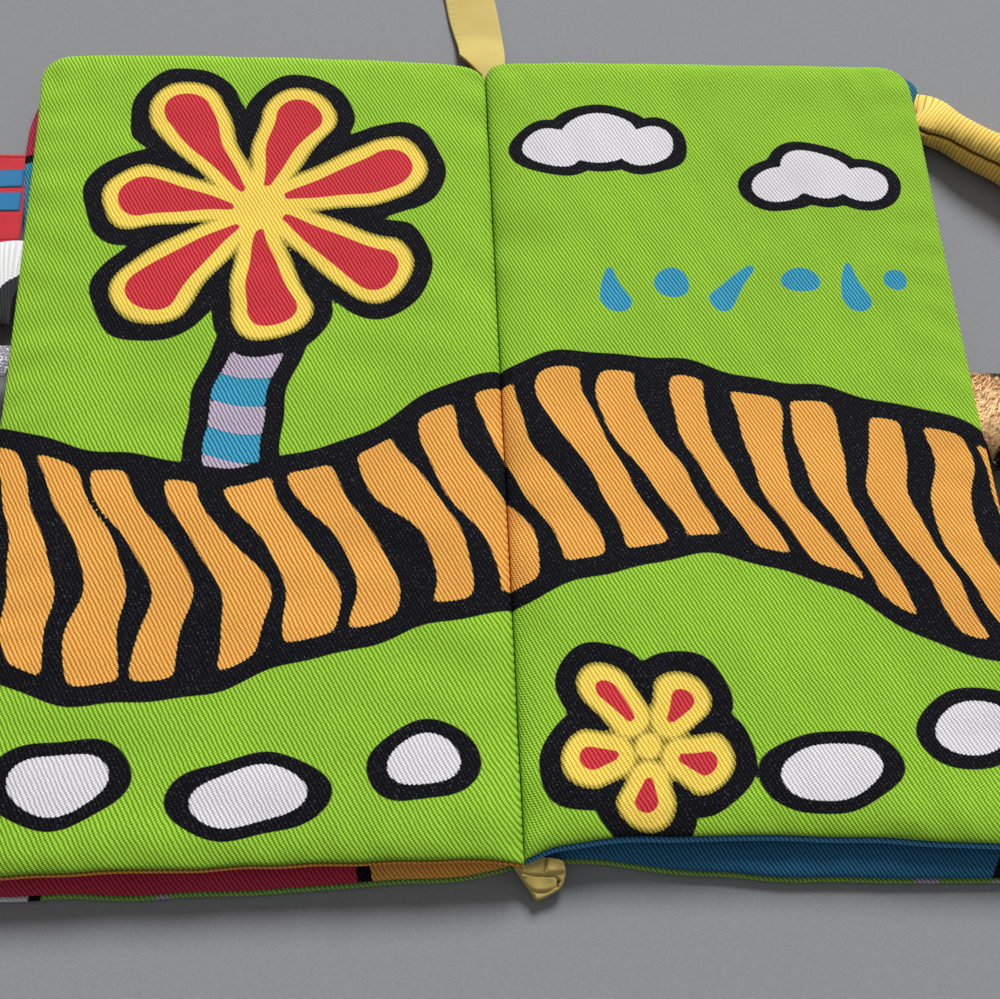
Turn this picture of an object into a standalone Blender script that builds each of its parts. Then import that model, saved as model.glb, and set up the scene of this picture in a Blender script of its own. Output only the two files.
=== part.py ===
"""Crinkle cloth book, lying open at its middle spread.

The book has four padded leaves. The front cover and the back cover lie on the table, each with one
inner leaf on top. Every leaf is two printed cotton panels sewn round the edge, with a sheet of crackling
film and a sheet of wadding between them. All leaves meet at the sewn spine. A cotton tape comes out of
the spine seam at the head and at the foot, and soft tails are sewn into the fore-edges.

Metres. X runs across the book from the spine, +Y along the spine to its head, +Z up. The origin is on
the underside of the spine, halfway along it, so the table is at Z = 0.
"""
import bpy
import numpy as np
from math import cos, pi, radians, sin

# Cloth, film and the clearance that touching pieces keep
CLOTH = 0.0006
FILM = 0.0002
GAP = 0.0003
SEAM = 2 * CLOTH + GAP

# Inner leaves: from the middle of the spine to the fore-edge, and from foot to head
INNER_WIDTH = 0.138
INNER_HEIGHT = 0.250
INNER_CROWN = 0.0064
INNER_EDGE_LIFT = 0.0025
INNER_SPINE_GAP = 0.00075

# Covers reach past the inner leaves on three sides
COVER_PAST_FORE = 0.004
COVER_PAST_END = 0.004
COVER_CROWN = 0.0055
COVER_EDGE_LIFT = 0.0010

# How every padded leaf swells from its seams, and how its outline is drawn in
CORNER_RADIUS = 0.008
SPINE_SHOULDER = 0.022
FORE_SHOULDER = 0.024
END_SHOULDER = 0.024
BELLY_SHOULDER = 0.009
FORE_DRAW = 0.0010
HEAD_DRAW = 0.0010
LEFT_FOOT_DRAW = 0.0010
RIGHT_FOOT_DRAW = 0.0045

# Places of the grid lines, as shares of a shoulder or of the stretch between two shoulders
SHOULDER_SHARES = (0.0, 0.05, 0.17, 0.45)
MIDDLE_SHARES = (0.0, 0.33, 0.67, 1.0)
FORE_SHARE = 0.5
CORNER_ANGLES = (0, 30, 60, 90)
WADDING_SKIP_COUNT = 2
FILM_SKIP_COUNT = 3

# Spine binding
SPINE_WIDTH = 0.006
SPINE_TALL = 0.0044
SPINE_SIDES = 8

# Cotton tape: the strap at the head and the folded tab at the foot
TAPE_WIDTH = 0.016
TAPE_FOLDED_WIDTH = 0.010
TAPE_THICKNESS = 0.0008
TAPE_SEWN_LENGTH = 0.010
TAPE_PAST_COVER = 0.0005
STRAP_LENGTH = 0.098
STRAP_THICKNESS = 0.0012
STRAP_DROP_LENGTH = 0.016
STRAP_SWAY = 0.012
STRAP_SPREAD_LENGTH = 0.018
STRAP_STATIONS = 15
TAB_LENGTH = 0.0045
TAB_WIDTH = 0.0135
TAB_THICKNESS = 0.0042
TAB_SHIFT = 0.0035
TAB_SIDES = 10
TAB_WIDTH_SHARES = (0.42, 0.80, 1.0, 0.95, 0.62, 0.22)
TAB_THICKNESS_SHARES = (0.30, 0.62, 0.90, 1.0, 0.75, 0.30)
TAB_SHIFT_SHARES = (0.3, 0.8, 1.0, 1.0, 0.7, 0.3)

# Tails
TAIL_GAP = 0.0005
TAIL_PIVOT_REACH = 0.0016
TAIL_WALL = 0.0006
TAIL_ROOT_HALF_HEIGHT = 0.00095
TAIL_SIDES = 12
TAIL_REST_CLEARANCE = 0.0002
TAIL_STATION_SHARES = (0.0, 0.04, 0.09, 0.15, 0.23, 0.34, 0.46, 0.58, 0.70, 0.80, 0.88, 0.94, 0.98)
TAIL_DROP_SHARE = 0.34
TAIL_STRAIGHT_SHARE = 0.08
TIP_START_SHARE = 0.86
TIP_END_SHARE = 1.005
STUFFING_SKIP_COUNT = 3
STUFFING_CLEARANCE = 0.0006

FLAT_TAIL_LENGTH = 0.075
FLAT_TAIL_WIDTH = 0.0335
FLAT_TAIL_THICKNESS = 0.0016
FLAT_TAIL_Y_SHARE = 0.295
FLAT_TAIL_WAVE = 0.0014
FLAT_TAIL_ROUND = 0.010
FLAT_TAIL_STATIONS = 13
RIBBON_THICKNESS = 0.0004
RIBBON_START = 0.004
RIBBON_END = 0.012
FAR_BORDER = 0.0062
FAR_RIBBON_WIDTH = 0.0066
RIBBON_SPACE = 0.0020
NEAR_RIBBON_WIDTH = 0.0068

# A tail's place is a share of its leaf's height, from the middle towards the head
BANDED_TAIL = dict(length=0.085, y_share=0.166, root_width=0.029, width=0.026, height=0.0105, sway=-0.004,
                   bend=-0.006)
GLITTER_TAIL = dict(length=0.070, y_share=0.062, root_width=0.010, width=0.009, height=0.0075, sway=-0.018,
                    bend=0.002)
CORDUROY_TAIL = dict(length=0.110, y_share=0.41, root_width=0.0185, width=0.0152, height=0.0146, sway=-0.030,
                     bend=-0.028)
PLUSH_TAIL = dict(length=0.096, y_share=-0.032, root_width=0.034, width=0.030, height=0.026, sway=0.006,
                  bend=-0.008)

# Worked out from the sizes above
COVER_WIDTH = INNER_WIDTH + COVER_PAST_FORE
COVER_HEIGHT = INNER_HEIGHT + 2 * COVER_PAST_END
INNER_BASE = COVER_CROWN + GAP
HINGE_HEIGHT = INNER_BASE + INNER_CROWN
COVER_SPINE_GAP = SPINE_WIDTH / 2 + GAP
COVER_SEAM_HEIGHT = COVER_EDGE_LIFT + SEAM / 2
INNER_SEAM_HEIGHT = INNER_BASE + INNER_EDGE_LIFT + SEAM / 2
TAPE_HEIGHT = SPINE_TALL + GAP + TAPE_THICKNESS / 2
TAPE_HINGE_Y = COVER_HEIGHT / 2 + TAPE_PAST_COVER + GAP + TAPE_THICKNESS / 2
FLAT_TAIL_Y = FLAT_TAIL_Y_SHARE * COVER_HEIGHT


def material(name, colour, roughness):
    made = bpy.data.materials.new(name)
    made.use_nodes = True
    shader = made.node_tree.nodes["Principled BSDF"]
    shader.inputs["Base Color"].default_value = (*colour, 1.0)
    shader.inputs["Roughness"].default_value = roughness
    shader.inputs["Metallic"].default_value = 0.0
    return made


def add_object(name, points, faces, colour, roughness=0.9, parent=None, smooth=True):
    """Makes one named object; a moving one hangs from its hinge empty."""
    mesh = bpy.data.meshes.new(name)
    origin = np.array(parent.location) if parent else np.zeros(3)
    mesh.from_pydata((np.asarray(points) - origin).tolist(), [], faces)
    mesh.materials.append(material(name, colour, roughness))
    if smooth:
        mesh.shade_smooth()
        mesh.set_sharp_from_angle(angle=radians(50))
    made = bpy.data.objects.new(name, mesh)
    bpy.context.scene.collection.objects.link(made)
    made.parent = parent
    return made


def hinge(name, place):
    """An empty on the joint's axis, which carries the pieces that turn with it."""
    made = bpy.data.objects.new(name, None)
    made.location = place
    bpy.context.scene.collection.objects.link(made)
    return made


def shoulder(share):
    """Quarter of an ellipse: 0 at a seam, steep there, and 1 from the end of the shoulder on."""
    held = np.clip(share, 0.0, 1.0)
    return np.sqrt(1.0 - (1.0 - held) ** 2)


def ease(share):
    """Runs from 0 to 1 with level ends: three times the square less twice the cube."""
    held = np.clip(share, 0.0, 1.0)
    return held * held * (3 - 2 * held)


def slab_faces(columns, rows, flat_bottom):
    """Faces of a closed slab: an upper grid, a lower grid after it, and a wall round the edge."""
    def at(i, j, layer):
        return layer * columns * rows + j * columns + i

    faces = []
    for j in range(rows - 1):
        for i in range(columns - 1):
            faces.append((at(i, j, 0), at(i + 1, j, 0), at(i + 1, j + 1, 0), at(i, j + 1, 0)))
            if not flat_bottom:
                faces.append((at(i, j + 1, 1), at(i + 1, j + 1, 1), at(i + 1, j, 1), at(i, j, 1)))
    rim = [(i, 0) for i in range(columns - 1)] + [(columns - 1, j) for j in range(rows - 1)]
    rim += [(i, rows - 1) for i in range(columns - 1, 0, -1)] + [(0, j) for j in range(rows - 1, 0, -1)]
    for (i, j), (k, m) in zip(rim, rim[1:] + rim[:1]):
        faces.append((at(i, j, 1), at(k, m, 1), at(k, m, 0), at(i, j, 0)))
    if flat_bottom:
        faces.append(tuple(at(i, j, 1) for i, j in reversed(rim)))
    return faces


def slab(name, x, y, upper, lower, side, colour, parent, flat_bottom=False):
    """A closed slab between two height grids over the same places; side -1 mirrors it to the left."""
    rows, columns = x.shape
    faces = slab_faces(columns, rows, flat_bottom)
    if side < 0:
        faces = [tuple(reversed(face)) for face in faces]
    points = [np.column_stack(((side * x).ravel(), y.ravel(), z.ravel())) for z in (upper, lower)]
    points = np.vstack(points)
    if flat_bottom:
        used = sorted({corner for face in faces for corner in face})
        place = {corner: k for k, corner in enumerate(used)}
        points = points[used]
        faces = [tuple(place[corner] for corner in face) for face in faces]
    return add_object(name, points, faces, colour, parent=parent)


def leaf_grid(width, height, spine_gap, foot_draw):
    """Places of a leaf's grid lines: close together at the seams, with round corners at the fore-edge."""
    near = [spine_gap + share * SPINE_SHOULDER for share in SHOULDER_SHARES]
    middle_start = spine_gap + SPINE_SHOULDER
    middle_end = width - FORE_SHOULDER
    middle = [middle_start + share * (middle_end - middle_start) for share in MIDDLE_SHARES]
    fore = [width - FORE_SHARE * FORE_SHOULDER]
    corner = [width - CORNER_RADIUS * (1 - sin(radians(angle))) for angle in CORNER_ANGLES]
    r = np.array(near + middle + fore + corner)
    past = np.clip(r - (width - CORNER_RADIUS), 0.0, CORNER_RADIUS)
    round_off = CORNER_RADIUS - np.sqrt(CORNER_RADIUS ** 2 - past ** 2)
    along = (r - spine_gap) / (width - spine_gap)
    head = height / 2 - round_off - HEAD_DRAW * np.sin(pi * along)
    foot = height / 2 - round_off - foot_draw * np.sin(pi * np.sqrt(along))
    edge = np.array([share * END_SHOULDER for share in SHOULDER_SHARES])
    straight = height / 2 - CORNER_RADIUS - END_SHOULDER
    rows = [-(foot - step) for step in edge]
    rows += [np.full_like(r, (2 * share - 1) * straight) for share in MIDDLE_SHARES]
    rows += [head - step for step in edge[::-1]]
    y = np.array(rows)
    drawn = FORE_DRAW * along ** 2 * np.cos(pi * np.clip(y / height, -0.5, 0.5))
    x = r[None, :] - drawn
    end = np.minimum(head - y, y + foot)
    return x, y, r[None, :] + 0 * y, end


def leaf(side, names, colours, base, width, height, spine_gap, crown, edge_lift, foot_draw, parent):
    """One padded leaf: top panel, wadding, crinkle film and under panel, from the table up."""
    x, y, r, end = leaf_grid(width, height, spine_gap, foot_draw)
    lift = edge_lift * shoulder((r - spine_gap) / SPINE_SHOULDER)
    rise = shoulder((r - spine_gap) / SPINE_SHOULDER) * shoulder((width - r) / FORE_SHOULDER)
    rise = rise * shoulder(end / END_SHOULDER)
    belly = shoulder((width - r) / BELLY_SHOULDER) * shoulder(end / BELLY_SHOULDER)
    seam_top = base + lift + SEAM
    top = seam_top + (base + crown - seam_top) * rise
    under = base + lift * (1 - belly)
    slab(names[0], x, y, top, top - CLOTH, side, colours[0], parent)
    slab(names[1], x, y, under + CLOTH, under, side, colours[1], parent)
    film_bottom = base + CLOTH + GAP
    wadding_bottom = film_bottom + FILM + GAP
    cut = slice(WADDING_SKIP_COUNT, -WADDING_SKIP_COUNT)
    inner = (cut, cut)
    wadding_top = (top - CLOTH - GAP)[inner]
    slab(names[2], x[inner], y[inner], wadding_top, np.full_like(wadding_top, wadding_bottom), side,
         (0.93, 0.93, 0.92), parent, flat_bottom=True)
    cut = (FILM_SKIP_COUNT, -FILM_SKIP_COUNT - 1)
    corners = np.ix_(cut, cut)
    film_x = x[corners]
    film_y = y[corners]
    film = np.full_like(film_x, film_bottom)
    slab(names[3], film_x, film_y, film + FILM, film, side, (0.80, 0.84, 0.88), parent)


def leaf_names(leaf_name, top_name, under_name):
    return [leaf_name + "_" + end for end in (top_name, under_name, "wadding", "crinkle_film")]


def spine_binding():
    """The sewn fold that holds all leaves: flat underneath and round on top, from foot to head."""
    angles = [pi * k / SPINE_SIDES for k in range(SPINE_SIDES + 1)]
    profile = [(SPINE_WIDTH / 2 * cos(angle), SPINE_TALL * sin(angle)) for angle in angles]
    count = len(profile)
    points = [(px, end * COVER_HEIGHT / 2, pz) for end in (-1, 1) for px, pz in profile]
    faces = [(k + 1, k, count + k, count + k + 1) for k in range(count - 1)]
    faces.append((0, count - 1, 2 * count - 1, count))
    faces.append(tuple(range(count)))
    faces.append(tuple(range(2 * count - 1, count - 1, -1)))
    add_object("spine_binding", points, faces, (0.30, 0.55, 0.08))


def section_frame(centres):
    """Level and upright directions, square to a path through the centres; the first lies along the seam."""
    step = np.gradient(centres, axis=0)
    across = np.column_stack((step[:, 1], -step[:, 0], np.zeros(len(step))))
    across /= np.linalg.norm(across, axis=1)[:, None]
    across[0] = np.sign(across[0]) * (np.abs(across[0]) == np.abs(across[0]).max())
    up = np.cross(across, step)
    up[0] = (0, 0, 1)
    up /= np.linalg.norm(up, axis=1)[:, None]
    return across, up


def strip(name, centres, half_widths, half_heights, colour, parent=None):
    """A flat strip with a box section, carried along a list of centres; its width lies level."""
    centres = np.asarray(centres, dtype=float)
    level, up = section_frame(centres)
    across = level * np.asarray(half_widths)[:, None]
    lift = up * np.asarray(half_heights)[:, None]
    rings = np.stack((centres - across - lift, centres + across - lift, centres + across + lift,
                      centres - across + lift), axis=1)
    faces = []
    for k in range(len(centres) - 1):
        for m in range(4):
            n = (m + 1) % 4
            faces.append((4 * k + n, 4 * k + m, 4 * k + 4 + m, 4 * k + 4 + n))
    last = 4 * (len(centres) - 1)
    faces.append((0, 1, 2, 3))
    faces.append((last + 3, last + 2, last + 1, last))
    return add_object(name, rings.reshape(-1, 3), faces, colour, parent=parent, smooth=False)


def tape_ends():
    """The stretches of tape that are sewn into the spine seam at the head and at the foot."""
    yellow = (0.75, 0.60, 0.18)
    for name, end in (("strap_root", 1), ("tab_root", -1)):
        inner = end * (INNER_HEIGHT / 2 - TAPE_SEWN_LENGTH)
        outer = end * (COVER_HEIGHT / 2 + TAPE_PAST_COVER)
        shift = TAB_SHIFT * TAB_SHIFT_SHARES[0] if end < 0 else 0
        centres = [(shift, inner, TAPE_HEIGHT), (shift, outer, TAPE_HEIGHT)]
        strip(name, centres, [TAPE_FOLDED_WIDTH / 2] * 2, [TAPE_THICKNESS / 2] * 2, yellow)


def strap():
    """The free tape at the head: it widens from its fold, drops to the table and lies there."""
    axis = hinge("strap_hinge", (0, TAPE_HINGE_Y, TAPE_HEIGHT))
    along = np.linspace(0, 1, STRAP_STATIONS) ** 1.4 * STRAP_LENGTH
    y = TAPE_HINGE_Y + along
    z = TAPE_HEIGHT + (STRAP_THICKNESS / 2 - TAPE_HEIGHT) * ease(along / STRAP_DROP_LENGTH)
    x = -STRAP_SWAY * (along / STRAP_LENGTH) ** 0.8
    spread = np.clip(along / STRAP_SPREAD_LENGTH, 0, 1)
    half = (TAPE_FOLDED_WIDTH + (TAPE_WIDTH - TAPE_FOLDED_WIDTH) * shoulder(spread)) / 2
    thick = (TAPE_THICKNESS + (STRAP_THICKNESS - TAPE_THICKNESS) * spread) / 2
    strip("strap", np.column_stack((x, y, z)), half, thick, (0.75, 0.60, 0.18), axis)


def oval_rings(centres, across, up, half_widths, half_heights, sides):
    """Oval sections round each centre; returns an array of rings by sides by three."""
    angles = 2 * pi * np.arange(sides) / sides
    wide = across[:, None, :] * (np.cos(angles)[None, :] * half_widths[:, None])[:, :, None]
    tall = up[:, None, :] * (np.sin(angles)[None, :] * half_heights[:, None])[:, :, None]
    return centres[:, None, :] + wide + tall


def ring_faces(first, count, sides, outward):
    """Side faces between count rings that start at index first."""
    faces = []
    for k in range(count - 1):
        for m in range(sides):
            n = (m + 1) % sides
            a, b = first + k * sides, first + (k + 1) * sides
            face = (a + n, a + m, b + m, b + n)
            faces.append(face if outward else tuple(reversed(face)))
    return faces


def closed_tube(name, centres, across, up, half_widths, half_heights, colour, parent, sides=TAIL_SIDES):
    """A solid with oval sections, capped at both ends."""
    rings = oval_rings(centres, across, up, half_widths, half_heights, sides)
    count = len(centres)
    faces = ring_faces(0, count, sides, True)
    faces.append(tuple(range(sides)))
    faces.append(tuple((count - 1) * sides + m for m in reversed(range(sides))))
    add_object(name, rings.reshape(-1, 3), faces, colour, parent=parent)


def foot_tab():
    """The folded end of the tape at the foot: a small crumpled fold that narrows to a point."""
    axis = hinge("foot_tab_hinge", (0, -TAPE_HINGE_Y, TAPE_HEIGHT))
    count = len(TAB_WIDTH_SHARES)
    along = np.linspace(0, 1, count) * TAB_LENGTH
    y = -TAPE_HINGE_Y - along
    thick = TAB_THICKNESS / 2 * np.array(TAB_THICKNESS_SHARES)
    rest = TAB_THICKNESS / 2 + TAIL_REST_CLEARANCE
    z = TAPE_HEIGHT + (rest - TAPE_HEIGHT) * along / TAB_LENGTH
    x = TAB_SHIFT * np.array(TAB_SHIFT_SHARES)
    half = TAB_WIDTH / 2 * np.array(TAB_WIDTH_SHARES)
    centres = np.column_stack((x, y, z))
    across = np.tile((-1.0, 0.0, 0.0), (count, 1))
    up = np.tile((0.0, 0.0, 1.0), (count, 1))
    closed_tube("foot_tab", centres, across, up, half, thick, (0.72, 0.56, 0.16), axis, TAB_SIDES)


def fore_edge(width, height, y):
    """How far from the spine the drawn-in fore-edge of a leaf lies at a place along it."""
    return width - FORE_DRAW * cos(pi * y / height)


def tail_path(side, edge, root_y, seam_height, tail):
    """Centres and half sizes of a stuffed tail: sewn flat at its root, then round, then rounded off."""
    share = np.array(TAIL_STATION_SHARES)
    length = tail["length"]
    swell = shoulder(share / TAIL_DROP_SHARE)
    past = np.clip((share - TIP_START_SHARE) / (TIP_END_SHARE - TIP_START_SHARE), 0, 1)
    tip = np.sqrt(1 - past ** 2)
    root_half, full_half = tail["root_width"] / 2, tail["width"] / 2
    half_width = (root_half + (full_half - root_half) * np.sqrt(share)) * tip
    flat, full = TAIL_ROOT_HALF_HEIGHT, tail["height"] / 2
    half_height = (flat + (full - flat) * swell ** 1.5) * tip
    rest = full + TAIL_REST_CLEARANCE
    turned = share ** 2 / (share + TAIL_STRAIGHT_SHARE)
    x = side * (edge + TAIL_GAP + share * length)
    y = root_y + tail["sway"] * turned + tail["bend"] * np.sin(pi * turned)
    z = seam_height + (rest - seam_height) * ease(share / TAIL_DROP_SHARE)
    half_height = np.minimum(half_height, z - TAIL_REST_CLEARANCE)
    return np.column_stack((x, y, z)), half_width, half_height


def stuffed_tail(name, side, leaf_size, seam_height, tail, cover_colour):
    """A sewn tube of cloth, open at its root, with its stuffing inside, on a hinge at the seam."""
    root_y = tail["y_share"] * leaf_size[1]
    edge = fore_edge(*leaf_size, root_y)
    axis = hinge(name + "_hinge", (side * (edge + TAIL_GAP + TAIL_PIVOT_REACH), root_y, seam_height))
    centres, half_width, half_height = tail_path(side, edge, root_y, seam_height, tail)
    across, up = section_frame(centres)
    outer = oval_rings(centres, across, up, half_width, half_height, TAIL_SIDES)
    keep = len(centres) - 1
    inner = oval_rings(centres[:keep], across[:keep], up[:keep], half_width[:keep] - TAIL_WALL,
                       half_height[:keep] - TAIL_WALL, TAIL_SIDES)
    count = len(centres)
    first = count * TAIL_SIDES
    faces = ring_faces(0, count, TAIL_SIDES, True) + ring_faces(first, keep, TAIL_SIDES, False)
    faces.append(tuple((count - 1) * TAIL_SIDES + m for m in reversed(range(TAIL_SIDES))))
    faces.append(tuple(first + (keep - 1) * TAIL_SIDES + m for m in range(TAIL_SIDES)))
    for m in range(TAIL_SIDES):
        n = (m + 1) % TAIL_SIDES
        faces.append((m, n, first + n, first + m))
    points = np.vstack((outer.reshape(-1, 3), inner.reshape(-1, 3)))
    add_object(name + "_cover", points, faces, cover_colour, parent=axis)
    inside = slice(STUFFING_SKIP_COUNT, keep - 1)
    shrink = TAIL_WALL + STUFFING_CLEARANCE
    closed_tube(name + "_stuffing", centres[inside], across[inside], up[inside], half_width[inside] - shrink,
                half_height[inside] - shrink, (0.95, 0.95, 0.93), axis)


def flat_tail():
    """A doubled strip of red cloth on the front cover, with two blue ribbons sewn along its top."""
    edge = fore_edge(COVER_WIDTH, COVER_HEIGHT, FLAT_TAIL_Y) + TAIL_GAP
    axis = hinge("flat_tail_hinge", (-(edge + TAIL_PIVOT_REACH), FLAT_TAIL_Y, COVER_SEAM_HEIGHT))
    share = np.linspace(0, 1, FLAT_TAIL_STATIONS)
    along = share * FLAT_TAIL_LENGTH
    fall = (FLAT_TAIL_THICKNESS / 2 - COVER_SEAM_HEIGHT) * ease(share / TAIL_DROP_SHARE)
    z = COVER_SEAM_HEIGHT + fall + FLAT_TAIL_WAVE * np.sin(pi * share) ** 2
    y = np.full_like(along, FLAT_TAIL_Y)
    centres = np.column_stack((-(edge + along), y, z))
    past = np.clip(along - (FLAT_TAIL_LENGTH - FLAT_TAIL_ROUND), 0, FLAT_TAIL_ROUND)
    rounded = FLAT_TAIL_ROUND - np.sqrt(FLAT_TAIL_ROUND ** 2 - past ** 2)
    half = FLAT_TAIL_WIDTH / 2 - rounded
    strip("flat_tail_cloth", centres, half, [FLAT_TAIL_THICKNESS / 2] * len(centres), (0.62, 0.03, 0.05), axis)
    used = (along > RIBBON_START) & (along < FLAT_TAIL_LENGTH - RIBBON_END)
    lift = FLAT_TAIL_THICKNESS / 2 + GAP + RIBBON_THICKNESS / 2
    far = FLAT_TAIL_WIDTH / 2 - FAR_BORDER
    places = (("flat_tail_far_ribbon", far - FAR_RIBBON_WIDTH / 2, FAR_RIBBON_WIDTH),
              ("flat_tail_near_ribbon", far - FAR_RIBBON_WIDTH - RIBBON_SPACE - NEAR_RIBBON_WIDTH / 2,
               NEAR_RIBBON_WIDTH))
    for name, offset, width in places:
        line = centres[used] + np.array((0, offset, lift))
        count = len(line)
        strip(name, line, [width / 2] * count, [RIBBON_THICKNESS / 2] * count, (0.02, 0.20, 0.48), axis)


# Start from an empty scene
for old in list(bpy.data.objects):
    bpy.data.objects.remove(old, do_unlink=True)

# Leaves, from the table up: each inner leaf lies on its cover, and all turn about one line at the spine
SPINE_LINE = (0, 0, HINGE_HEIGHT)
front_hinge = hinge("front_cover_hinge", SPINE_LINE)
left_hinge = hinge("left_leaf_hinge", SPINE_LINE)
right_hinge = hinge("right_leaf_hinge", SPINE_LINE)
GREEN, RED, ORANGE, BLUE = (0.27, 0.58, 0.04), (0.58, 0.03, 0.04), (0.85, 0.42, 0.08), (0.01, 0.22, 0.52)
leaf(-1, leaf_names("front_cover", "lining", "outer_cloth"), (RED, GREEN), 0, COVER_WIDTH, COVER_HEIGHT,
     COVER_SPINE_GAP, COVER_CROWN, COVER_EDGE_LIFT, LEFT_FOOT_DRAW, front_hinge)
leaf(1, leaf_names("back_cover", "lining", "outer_cloth"), (BLUE, GREEN), 0, COVER_WIDTH, COVER_HEIGHT,
     COVER_SPINE_GAP, COVER_CROWN, COVER_EDGE_LIFT, LEFT_FOOT_DRAW, None)
leaf(-1, leaf_names("left_leaf", "top_cloth", "under_cloth"), (GREEN, ORANGE), INNER_BASE, INNER_WIDTH,
     INNER_HEIGHT, INNER_SPINE_GAP, INNER_CROWN, INNER_EDGE_LIFT, LEFT_FOOT_DRAW, left_hinge)
leaf(1, leaf_names("right_leaf", "top_cloth", "under_cloth"), (GREEN, BLUE), INNER_BASE, INNER_WIDTH,
     INNER_HEIGHT, INNER_SPINE_GAP, INNER_CROWN, INNER_EDGE_LIFT, RIGHT_FOOT_DRAW, right_hinge)

# Spine, tape and tails
spine_binding()
tape_ends()
strap()
foot_tab()
flat_tail()
INNER_SIZE = (INNER_WIDTH, INNER_HEIGHT)
COVER_SIZE = (COVER_WIDTH, COVER_HEIGHT)
stuffed_tail("banded_tail", -1, INNER_SIZE, INNER_SEAM_HEIGHT, BANDED_TAIL, (0.80, 0.80, 0.82))
stuffed_tail("glitter_tail", -1, INNER_SIZE, INNER_SEAM_HEIGHT, GLITTER_TAIL, (0.40, 0.36, 0.48))
stuffed_tail("corduroy_tail", 1, COVER_SIZE, COVER_SEAM_HEIGHT, CORDUROY_TAIL, (0.85, 0.55, 0.12))
stuffed_tail("plush_tail", 1, INNER_SIZE, INNER_SEAM_HEIGHT, PLUSH_TAIL, (0.85, 0.38, 0.08))
bpy.context.view_layer.update()
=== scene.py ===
"""Crinkle cloth book, lying open at its middle spread: its cloth, print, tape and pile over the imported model.

Metres, in the CAD's own frame: +X across the book from the spine, +Y along the spine to its head, +Z up.
"""
import bpy
import numpy as np
from math import pi, radians, tan
from mathutils import Euler, Matrix, Vector


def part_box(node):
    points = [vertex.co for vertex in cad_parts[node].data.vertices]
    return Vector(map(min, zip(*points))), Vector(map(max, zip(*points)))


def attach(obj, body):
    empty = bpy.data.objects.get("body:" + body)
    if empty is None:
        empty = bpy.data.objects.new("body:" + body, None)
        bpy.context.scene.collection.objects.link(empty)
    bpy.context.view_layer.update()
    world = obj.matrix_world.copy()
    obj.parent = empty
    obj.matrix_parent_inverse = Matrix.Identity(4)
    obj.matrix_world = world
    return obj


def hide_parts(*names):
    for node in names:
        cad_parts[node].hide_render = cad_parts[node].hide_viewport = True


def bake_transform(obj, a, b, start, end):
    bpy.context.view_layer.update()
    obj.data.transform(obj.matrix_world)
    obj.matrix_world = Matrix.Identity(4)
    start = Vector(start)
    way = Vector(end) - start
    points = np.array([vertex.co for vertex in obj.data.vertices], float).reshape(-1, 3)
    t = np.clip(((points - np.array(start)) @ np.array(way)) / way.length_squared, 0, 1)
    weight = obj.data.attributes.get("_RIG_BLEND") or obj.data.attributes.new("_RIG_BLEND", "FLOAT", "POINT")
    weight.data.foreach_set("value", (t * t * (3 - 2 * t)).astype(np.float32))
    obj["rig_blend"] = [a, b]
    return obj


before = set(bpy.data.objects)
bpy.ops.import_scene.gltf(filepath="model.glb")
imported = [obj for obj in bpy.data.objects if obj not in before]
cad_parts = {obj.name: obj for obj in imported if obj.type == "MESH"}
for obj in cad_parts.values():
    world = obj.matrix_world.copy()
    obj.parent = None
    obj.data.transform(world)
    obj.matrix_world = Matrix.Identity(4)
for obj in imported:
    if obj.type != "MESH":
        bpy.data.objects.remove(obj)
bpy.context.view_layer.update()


# The camera stands at the foot of the book, a little left of the spine, and looks down at its middle. Its
# place and tilt come from the edges of the pages in the photo, and its lens is that of a phone.
EYE = (-0.0282, -0.1745, 0.3303)
LOOKS_DOWN, TURNED_RIGHT, ROLLED, LENS = 65.27, 10.24, 8.52, 46.8


def link(name, data):
    """Puts one new object into the scene, at the origin."""
    made = bpy.data.objects.new(name, data)
    bpy.context.scene.collection.objects.link(made)
    return made


camera = link("camera", bpy.data.cameras.new("camera"))
camera.data.lens = LENS
camera.location = EYE
tilt = Euler((radians(90 - LOOKS_DOWN), 0, radians(-TURNED_RIGHT))).to_matrix()
camera.rotation_euler = (tilt @ Matrix.Rotation(radians(ROLLED), 3, "Z")).to_euler()
bpy.context.scene.camera = camera
bpy.context.scene.view_settings.view_transform = "Standard"


# One wide soft lamp hangs far off, beyond the head of the book and to its right, so that the near edges lie in
# soft shadow. An even white sky fills the rest.
LAMP_PLACE, LAMP_ACROSS, LAMP_WATTS, SKY = (3.6, 14.4, 12.0), 7.2, 4900.0, 0.27
lamp = link("soft_lamp", bpy.data.lights.new("soft_lamp", "AREA"))
lamp.data.shape = "DISK"
lamp.data.size = LAMP_ACROSS
lamp.data.energy = LAMP_WATTS
lamp.location = LAMP_PLACE
lamp.rotation_euler = (-Vector(LAMP_PLACE)).to_track_quat("-Z", "Y").to_euler()
sky = bpy.data.worlds.new("sky")
sky.use_nodes = True
sky.node_tree.nodes["Background"].inputs["Color"].default_value = (1.0, 1.0, 1.0, 1.0)
sky.node_tree.nodes["Background"].inputs["Strength"].default_value = SKY
bpy.context.scene.world = sky


# Every finish is built here. A finish holds one material, and each number that varies over a piece is a
# Value, on which arithmetic adds Math nodes.
class Value:
    """A number or colour that varies over a piece."""

    def __init__(self, finish, socket):
        self.finish = finish
        self.socket = socket

    def __add__(self, other):
        return self.finish.maths("ADD", self, other)

    def __sub__(self, other):
        return self.finish.maths("SUBTRACT", self, other)

    def __rsub__(self, other):
        return self.finish.maths("SUBTRACT", other, self)

    def __mul__(self, other):
        return self.finish.maths("MULTIPLY", self, other)

    def __truediv__(self, other):
        return self.finish.maths("DIVIDE", self, other)

    __radd__ = __add__
    __rmul__ = __mul__


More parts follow.
